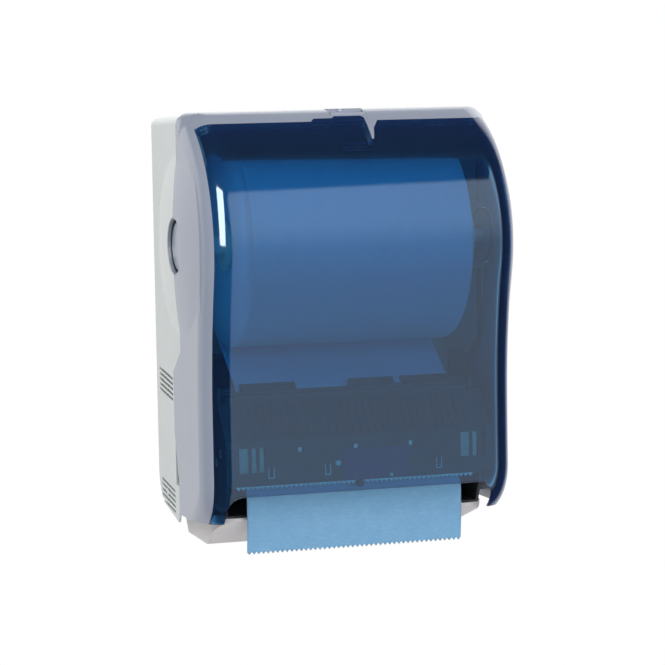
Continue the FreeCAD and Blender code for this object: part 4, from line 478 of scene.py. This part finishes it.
def makeWoundRoll():
    # The wound towel: a close cylinder whose ends show the uneven edges of its layers
    look = woundRoll
    count = int((look["radius"] - look["coreRadius"]) / look["layerStep"])
    rings = []
    for side in (-1, 1):
        ends = []
        for k in range(count + 1):
            radius = look["coreRadius"] + (look["radius"] - look["coreRadius"]) * k / count
            spot = Vector((radius * look["driftPerMetre"], side * look["sideSeed"], 0))
            drift = 0.5 + 0.5 * noise.noise(spot)
            ridge = look["ridge"] if k % 2 else 0.0
            share = min(drift * look["driftShare"] + ridge, 1.0) if 0 < k < count else 0
            ends.append((side * (look["halfWidth"] - look["endWander"] * share), radius))
        rings.append(ends)
    profile = rings[0] + rings[1][::-1]
    verts, faces = [], []
    n = look["segments"]
    for k in range(n):
        angle = 2 * math.pi * k / n
        for x, radius in profile:
            verts.append((x, look["axis"][0] + radius * math.cos(angle),
                          look["axis"][1] + radius * math.sin(angle)))
    rows = len(profile)
    for k in range(n):
        after = (k + 1) % n
        for j in range(rows):
            up = (j + 1) % rows
            faces.append((k * rows + j, k * rows + up, after * rows + up, after * rows + j))
    mesh = meshFrom("woundRoll", verts, faces)
    piece = addPiece("woundRoll", mesh, "crepePaper", "roll")
    mesh.set_sharp_from_angle(angle=math.radians(look["sharpFrom"]))
    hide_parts("towel_roll")


towelSheet = {
    # Corners of the web's line from the roll's underside over the guide bar, through the nip
    # and out of the mouth: Y, Z and the bend's radius, in millimetres
    "line": [(-54.0, -28.7, 0), (-148.5, -94.84, 4.0), (-148.5, -150.4, 8.0),
             (-188.0, -212.4, 9.0), (-188.0, -246.0, 60.0), (-184.5, -277.6, 0)],
    "halfWidth": 127 * mm,
    "columns": 92,
    "rowStep": 3.5 * mm,
    "tooth": 3.2 * mm,          # height of the torn edge's teeth
    "thick": 0.30 * mm,
    "wave": 0.7 * mm,           # how far the free end ripples across its width
    "waveFrom": -0.214,         # height below which it starts to ripple, and the drop in
    "waveFull": 0.06,           # which it reaches the whole wave
    "wavePerMetre": (14, 6),    # across and down
    "waveSeed": 0.3,
    "wrap": 14,                 # degrees that it still lies on the roll
    "wrapSteps": 6,
    "arcSteps": 7,              # pieces in each bend of the line
}


def bentLine(corners, steps):
    # Points along the line, its corners rounded by arcs
    points = [Vector(corners[0][:2])]
    for before, here, after in zip(corners, corners[1:], corners[2:]):
        a, b, c = (Vector(v[:2]) for v in (before, here, after))
        inward, onward = (a - b).normalized(), (c - b).normalized()
        half = inward.angle(onward) / 2
        reach = here[2] / math.tan(half)
        start, stop = b + inward * reach, b + onward * reach
        centre = b + (inward + onward).normalized() * here[2] / math.sin(half)
        for k in range(steps + 1):
            arm = (start - centre).normalized().slerp((stop - centre).normalized(), k / steps)
            points.append(centre + arm * here[2])
    points.append(Vector(corners[-1][:2]))
    return [p * mm for p in points]


def evenRows(points, step):
    # The same line with points about a step apart
    rows = [points[0]]
    for a, b in zip(points, points[1:]):
        count = max(int(round((b - a).length / step)), 1)
        rows += [a.lerp(b, (k + 1) / count) for k in range(count)]
    return rows


def makeTowelSheet():
    # One sheet from the roll to the torn edge, with a ripple in its free end
    look = towelSheet
    axis = Vector(woundRoll["axis"])
    line = bentLine(look["line"], look["arcSteps"])
    arm = line[0] - axis
    wrapped = []
    for k in range(look["wrapSteps"], 0, -1):
        turn = math.radians(look["wrap"]) * k / look["wrapSteps"]
        wrapped.append(axis + Matrix.Rotation(turn, 2) @ arm)
    rows = evenRows(wrapped + line, look["rowStep"])
    lengths = [0.0]
    for a, b in zip(rows, rows[1:]):
        lengths.append(lengths[-1] + (b - a).length)
    n = look["columns"]
    across, down = look["wavePerMetre"]
    verts, faces = [], []
    for r, point in enumerate(rows):
        free = max(0.0, min(1.0, (look["waveFrom"] - point.y) / look["waveFull"]))
        for c in range(n + 1):
            x = look["halfWidth"] * (2 * c / n - 1)
            spot = Vector((x * across, look["waveSeed"], point.y * down))
            ripple = noise.noise(spot) * look["wave"] * free
            lift = look["tooth"] if r == len(rows) - 1 and c % 2 == 0 else 0.0
            verts.append((x, point.x + ripple, point.y + lift))
    for r in range(len(rows) - 1):
        for c in range(n):
            k = r * (n + 1) + c
            faces.append((k, k + 1, k + n + 2, k + n + 1))
    mesh = meshFrom("towelSheet", verts, faces)
    piece = addPiece("towelSheet", mesh, "crepePaper", "housing")
    solid = piece.modifiers.new("thickness", "SOLIDIFY")
    solid.thickness = look["thick"]
    solid.offset = 0
    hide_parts("paper_web", "towel_tail")


makeWoundRoll()
makeTowelSheet()
print("paper made")


def addBox(shape, low, high):
    # A box between two corners in millimetres
    middle = [(a + b) / 2 * mm for a, b in zip(low, high)]
    size = [(b - a) * mm for a, b in zip(low, high)]
    place = Matrix.Translation(middle) @ Matrix.Diagonal((*size, 1))
    bmesh.ops.create_cube(shape, size=1, matrix=place)


def addTurned(shape, profile, middle, axis, segments, hollow=False):
    # A profile of (distance along the axis, radius) in millimetres, turned about the axis: a
    # ring where it is hollow, closed by flat ends where it is not
    loops = []
    for along, radius in profile:
        loop = []
        for k in range(segments):
            turn = 2 * math.pi * k / segments
            point = list(middle)
            point[axis] += along
            point[(axis + 1) % 3] += radius * math.cos(turn)
            point[(axis + 2) % 3] += radius * math.sin(turn)
            loop.append(shape.verts.new(Vector(point) * mm))
        loops.append(loop)
    following = loops[1:] + loops[:1] if hollow else loops[1:]
    for a, b in zip(loops, following):
        for k in range(segments):
            after = (k + 1) % segments
            shape.faces.new((a[k], a[after], b[after], b[k]))
    if not hollow:
        shape.faces.new(loops[0])
        shape.faces.new(loops[-1])


def addStrip(shape, x, thick, line, width):
    # A flat band across X that follows a line of (Y, Z) points
    half = width / 2
    rails = [[], [], [], []]
    points = [Vector(p) for p in line]
    for k, p in enumerate(points):
        ahead = points[min(k + 1, len(points) - 1)] - points[max(k - 1, 0)]
        across = Vector((-ahead.y, ahead.x)).normalized() * half
        for rail, (side, out) in zip(rails, ((0, 1), (0, -1), (1, -1), (1, 1))):
            q = p + across * out
            rail.append(shape.verts.new(Vector((x + side * thick, q.x, q.y)) * mm))
    for a, b in zip(rails, rails[1:] + rails[:1]):
        for k in range(len(points) - 1):
            shape.faces.new((a[k], a[k + 1], b[k + 1], b[k]))
    for k in (0, -1):
        shape.faces.new([rail[k] for rail in rails])


def addSlab(shape, x, thick, corners):
    # A slab across X with an outline of (Y, Z) corners
    outlines = [[shape.verts.new(Vector((x + out, y, z)) * mm) for y, z in corners]
                for out in (0, thick)]
    for outline in outlines:
        shape.faces.new(outline)
    low, high = outlines
    for k in range(len(corners)):
        after = (k + 1) % len(corners)
        shape.faces.new((low[k], low[after], high[after], high[k]))


edgeWork = {
    "bevelFrom": 40,        # degrees between faces, here and below
    "sharpFrom": 35,
    "bevelSegments": 2,
}


def finishShape(name, shape, finish, body, soften=0.0, smooth=False):
    # Turns the shape into a piece, with its sharp edges broken where soften is given
    bmesh.ops.recalc_face_normals(shape, faces=shape.faces)
    if soften:
        least = math.radians(edgeWork["bevelFrom"])
        edges = [e for e in shape.edges if e.calc_face_angle(0) > least]
        bmesh.ops.bevel(shape, geom=edges, offset=soften * mm,
                        segments=edgeWork["bevelSegments"], affect="EDGES")
    mesh = bpy.data.meshes.new(name)
    shape.to_mesh(mesh)
    shape.free()
    piece = addPiece(name, mesh, finish, body, smooth)
    if smooth:
        mesh.set_sharp_from_angle(angle=math.radians(edgeWork["sharpFrom"]))
    return piece


# Black foam inside the side walls, painted shade seen through the split line, the wedge and the
# louvres, and rings in the hub openings, in millimetres. The split line runs down between cover
# and housing, steps back under the roll and goes on to the heel.
sealing = {
    "wallX": 176.9,
    "thick": 1.1,
    "width": 11.0,
    "upperSplit": [(-118, 196), (-118, 106)],
    "lowerSplit": [(-118, 28), (-118, -48), (-114, -58), (-92, -70), (-85, -82), (-85, -205)],
    # Dark backing behind the wedge that opens between cover and housing below the step, painted
    # shade seen through it
    "wedge": [(-92, -204), (-58, -204), (-58, -98), (-92, -98)],
    # Corners of the dark backing behind the upper and the lower louvres, painted shade seen
    # through them: Y, Z
    "louvreShadeBackers": [
        [(-78, -76), (-10, -76), (-10, -120), (-78, -120)],
        [(-78, -206), (-10, -206), (-10, -212), (-20, -224), (-44, -236), (-78, -244)],
    ],
    "louvreBackerSoften": 0.3,
    "hubAxis": (-121.0, 67.0),
    "hubSegments": 96,
    # Distance from the middle and radius: a dark sleeve beside the cap, which stops light through
    # the gap round it and paints the shadow seen in that gap, and the light lining from there out
    # to the cover's face
    "hubSleeve": [(179.6, 28.9), (179.6, 31.3), (183.4, 31.3), (183.4, 30.5), (180.4, 30.5),
                  (180.4, 28.9)],
    "hubLining": [(183.4, 31.3), (186.4, 31.3), (186.4, 30.5), (183.4, 30.5)],
}


def makeSeals():
    look = sealing
    thick = look["thick"]
    # The dark sleeve is painted shadow for the gap round the hub cap, and it also stops light
    # through that gap
    rings = (("HubShadeSleeve", look["hubSleeve"], "blackAbs"),
             ("HubLining", look["hubLining"], "coverAbs"))
    for side, word in ((-1, "left"), (1, "right")):
        # Black strips and backing behind the gaps: painted shade, which also stops light through
        # them
        x = look["wallX"] if side > 0 else -look["wallX"] - thick
        strips = bmesh.new()
        addStrip(strips, x, thick, look["upperSplit"], look["width"])
        addStrip(strips, x, thick, look["lowerSplit"], look["width"])
        addSlab(strips, x, thick, look["wedge"])
        finishShape(word + "SplitShadeStrip", strips, "shadeBlackFoam", "housing")
        shadeBackers = bmesh.new()
        for corners in look["louvreShadeBackers"]:
            addSlab(shadeBackers, x, thick, corners)
        finishShape(word + "LouvreShadeBacker", shadeBackers, "shadeBlackFoam", "housing",
                    look["louvreBackerSoften"])
        for name, outline, finish in rings:
            ring = bmesh.new()
            profile = [(side * along, radius) for along, radius in outline]
            addTurned(ring, profile, (0, *look["hubAxis"]), 0, look["hubSegments"], hollow=True)
            finishShape(word + name, ring, finish, word + "_arm", smooth=True)


# Light guides behind the slots and peep holes of the hood, liners on its clips, and a dark
# strip that guards the web, in millimetres
guides = {
    "soften": 0.2,
    "depths": (-191.9, -190.9),
    "slots": [(-138.0, -105.0, -186.0, -154.0), (124.5, 147.0, -182.0, -150.0)],
    "peeps": (-65.5, 0.0, 65.2),
    "peepHeight": -160.5,
    "peepHalf": 2.7,
    "clips": (-100.0, -34.0, 98.0),
    "clipLine": (-190.0, -178.6),
    "clipHalf": 3.0,
    "clipWide": 1.0,
    "clipDepths": (-196.3, -195.85),
    "guard": ((-144.0, -159.7, -107.8), (144.0, -158.7, -102.4)),
}


def makeGuides():
    look = guides
    front, back = look["depths"]
    shape = bmesh.new()
    for left, right, low, high in look["slots"]:
        addBox(shape, (left, front, low), (right, back, high))
    finishShape("slotGuides", shape, "frostAcrylic", "housing", look["soften"])
    shape = bmesh.new()
    for x in look["peeps"]:
        half = look["peepHalf"]
        addBox(shape, (x - half, front, look["peepHeight"] - half),
               (x + half, back, look["peepHeight"] + half))
    finishShape("peepGuides", shape, "milkAcrylic", "housing", look["soften"])
    shape = bmesh.new()
    addBox(shape, *look["guard"])
    finishShape("webGuard", shape, "blackAbs", "housing", look["soften"])
    shape = bmesh.new()
    low, high = look["clipLine"]
    near, far = look["clipDepths"]
    for x in look["clips"]:
        for side in (-1, 1):
            a = x + side * look["clipHalf"] - look["clipWide"] / 2
            addBox(shape, (a, near, low), (a + look["clipWide"], far, high))
        reach = look["clipHalf"] + look["clipWide"] / 2
        addBox(shape, (x - reach, near, low - look["clipWide"]), (x + reach, far, low))
    finishShape("clipLiners", shape, "greyAcetal", "housing")


# Screws into the wall, and the small parts soldered to the back of the board, in millimetres.
# A profile is (distance from the face, radius).
fittings = {
    "screwPlaces": [(-105, 150), (105, 150), (-105, -14), (105, -14)],
    "screwFace": -6.0,
    "washer": [(0.0, 7.5), (-1.2, 7.5), (-1.2, 5.4)],
    "washerSegments": 32,
    "hexHead": [(-1.2, 5.0), (-4.4, 5.0), (-5.0, 4.4)],
    "headSides": 6,
    "boardFace": -190.6,
    "cans": [(78.0, -172.0), (78.0, -181.0)],
    "can": [(0.0, 3.0), (7.6, 3.0), (8.0, 2.6)],
    "canSegments": 24,
    "socket": ((110.0, -190.6, -186.5), (122.0, -184.6, -180.5)),
    "socketSoften": 0.4,
    "chipSoften": 0.2,
    "chips": [((86.0, -190.6, -187.0), (92.0, -188.8, -183.0)),
              ((114.0, -190.6, -172.0), (120.0, -189.0, -166.0))],
}


def makeFittings():
    look = fittings
    for k, (x, z) in enumerate(look["screwPlaces"]):
        screw = bmesh.new()
        middle = (x, look["screwFace"], z)
        addTurned(screw, look["washer"], middle, 1, look["washerSegments"])
        addTurned(screw, look["hexHead"], middle, 1, look["headSides"])
        finishShape("wallScrew%d" % (k + 1), screw, "platedZinc", "housing")
    cans = bmesh.new()
    for x, z in look["cans"]:
        addTurned(cans, look["can"], (x, look["boardFace"], z), 1, look["canSegments"])
    finishShape("boardCapacitors", cans, "shrinkSleeve", "housing", smooth=True)
    chips = bmesh.new()
    for low, high in look["chips"]:
        addBox(chips, low, high)
    finishShape("boardChips", chips, "blackAbs", "housing", look["chipSoften"])
    socket = bmesh.new()
    addBox(socket, *look["socket"])
    finishShape("boardSocket", socket, "naturalAcetal", "housing", look["socketSoften"])


# The return spring under the latch button, in millimetres
latchSpring = {
    "middle": (23.0, -139.5, 186.84),   # its foot, on the floor of the cup
    "height": 8.82,
    "radius": 4.0,
    "wire": 0.4,
    "turns": 3,
    "steps": 24,            # points on each turn
    "sides": 8,
    "squashed": 0.45,       # share of its height left when the button is pushed home
}


def makeLatchSpring():
    # A coil of round wire
    look = latchSpring
    x, y, z = look["middle"]
    wire = look["wire"]
    count = look["turns"] * look["steps"]
    rise = look["height"] - 2 * wire
    shape = bmesh.new()
    rings = []
    for k in range(count + 1):
        turn = 2 * math.pi * k / look["steps"]
        out = Vector((math.cos(turn), math.sin(turn), 0))
        centre = Vector((x, y, z + wire + rise * k / count)) + out * look["radius"]
        ring = []
        for j in range(look["sides"]):
            lean = 2 * math.pi * j / look["sides"]
            point = centre + out * wire * math.cos(lean)
            point.z += wire * math.sin(lean)
            ring.append(shape.verts.new(point * mm))
        rings.append(ring)
    for a, b in zip(rings, rings[1:]):
        for j in range(look["sides"]):
            after = (j + 1) % look["sides"]
            shape.faces.new((a[j], a[after], b[after], b[j]))
    shape.faces.new(rings[0])
    shape.faces.new(rings[-1])
    piece = finishShape("latchSpring", shape, "groundSteel", "cover", smooth=True)
    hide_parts("latch_spring")
    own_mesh(piece)


makeSeals()
makeGuides()
makeFittings()
makeLatchSpring()
print("dressing made")


# ---- light and ground

lamps = {
    # name: place, aim, size, power in watts, lights the paint, seen in reflections
    "keySoftbox": ((-1.8, -1.6, 1.5), (0, -0.1, 0), (1.2, 1.2), 26, True, False),
    "stripSoftbox": ((-1.15, -2.35, 1.15), (0, -0.1, 0), (1.1, 2.2), 110, False, True),
    "frontFill": ((0.9, -2.6, 0.5), (0, -0.1, 0), (1.6, 1.6), 22, True, False),
    "rightKicker": ((2.0, -0.6, 0.6), (0.1, -0.1, 0), (1.0, 1.0), 8, True, False),
    # What the towel and the walls throw back at each other inside the cover
    "rollEndFill": ((-0.150, -0.140, 0.060), (0, -0.140, 0.060), (0.20, 0.20), 0.035, True, False),
    "wallFill": ((-0.150, -0.180, 0.0), (-0.3, -0.180, 0), (0.10, 0.40), 0.11, True, False),
}
worldLook = {
    "ambient": 0.55,
    "white": (1.0, 1.6),    # white cards in front and behind, seen in the gloss: low and high
    "whiteRise": (-0.05, 0.25),     # heights between which they brighten
    "behind": (0.3, 0.5),   # how far round the card behind begins
    "dim": 0.08,            # the unlit rest of the room
    "cardTop": (0.59, 0.615),   # heights between which the front card ends
    "cardTilt": 0.30,           # how far that edge climbs to the right
    "cardSide": (-0.03, 0.03),  # the same for its side edges
    "cardTurn": (9.0, 58.0),    # degrees from straight ahead to those two edges
}


def makeLamps():
    for name, (place, aim, size, power, matt, mirrored) in lamps.items():
        data = bpy.data.lights.new(name, "AREA")
        data.shape = "RECTANGLE"
        data.size, data.size_y = size
        data.energy = power
        lamp = bpy.data.objects.new(name, data)
        lamp.location = place
        lamp.visible_glossy = mirrored
        lamp.visible_diffuse = matt
        lamp.visible_camera = False
        lamp.rotation_euler = (Vector(aim) - Vector(place)).to_track_quat("-Z", "Y").to_euler()
        bpy.context.scene.collection.objects.link(lamp)


def addDot(tree, where, direction):
    return addNode(
        tree, "ShaderNodeVectorMath", {"operation": "DOT_PRODUCT"}, {1: direction}, {0: where}
    ).outputs["Value"]


def makeWorld():
    # White to the eye. In reflections a white card ahead and another behind, in a dim room
    look = worldLook
    world = bpy.data.worlds.new("studio")
    bpy.context.scene.world = world
    world.use_nodes = True
    t = world.node_tree
    t.nodes.clear()
    path = addNode(t, "ShaderNodeLightPath").outputs
    where = addPlace(t, "Generated")
    axes = addNode(t, "ShaderNodeSeparateXYZ", links={"Vector": where}).outputs
    sides = []
    for side, turn in zip((1, -1), look["cardTurn"]):
        turn = math.radians(turn)
        beside = addDot(t, where, (side * math.cos(turn), side * math.sin(turn), 0))
        sides.append(addRange(t, beside, (0.0, 1.0), look["cardSide"]))
    behind = addRange(t, axes["Y"], (0.0, 1.0), look["behind"])
    around = addMath(t, "MAXIMUM", addMath(t, "MULTIPLY", *sides), behind)
    tilted = addDot(t, where, (-look["cardTilt"], 0, 1))
    below = addRange(t, tilted, (1.0, 0.0), look["cardTop"])
    card = addMath(t, "MULTIPLY", around, below)
    white = addRange(t, axes["Z"], look["white"], look["whiteRise"])
    mirrored = addRange(t, card, (look["dim"], white))
    level = addMix(t, path["Is Glossy Ray"], look["ambient"], mirrored, "FLOAT")
    seen = addMath(t, "MAXIMUM", path["Is Camera Ray"], path["Is Transmission Ray"])
    back = addNode(
        t, "ShaderNodeBackground", inputs={"Color": (1, 1, 1, 1)},
        links={"Strength": addMix(t, seen, level, 1.0, "FLOAT")},
    ).outputs["Background"]
    addNode(t, "ShaderNodeOutputWorld", links={"Surface": back})


floorLook = {
    "half": 12.0,
    "level": -1.25,
    "colour": "#e9e9e9",
}


def makeFloor():
    # The pale floor of the room, well below the dispenser on its wall
    half, level = floorLook["half"], floorLook["level"]
    corners = [(-half, -half, level), (half, -half, level), (half, half, level),
               (-half, half, level)]
    mesh = meshFrom("floor", corners, [(0, 1, 2, 3)])
    floor = bpy.data.objects.new("floor", mesh)
    bpy.context.scene.collection.objects.link(floor)
    floor.visible_glossy = False
    m, t = newMaterial("paleFloor")
    path = addNode(t, "ShaderNodeLightPath").outputs
    seen = addMath(t, "MAXIMUM", path["Is Camera Ray"], path["Is Glossy Ray"])
    matt = addNode(
        t, "ShaderNodeBsdfDiffuse", inputs={"Color": hexLinear(floorLook["colour"])}
    ).outputs["BSDF"]
    white = addNode(
        t, "ShaderNodeEmission", inputs={"Color": (1, 1, 1, 1), "Strength": 1.0}
    ).outputs["Emission"]
    finishMaterial(
        t, addNode(t, "ShaderNodeMixShader", links={0: seen, 1: matt, 2: white}).outputs["Shader"]
    )
    mesh.materials.append(m)


makeLamps()
makeWorld()
makeFloor()
bpy.context.scene.view_settings.view_transform = "Standard"
print("studio lit")
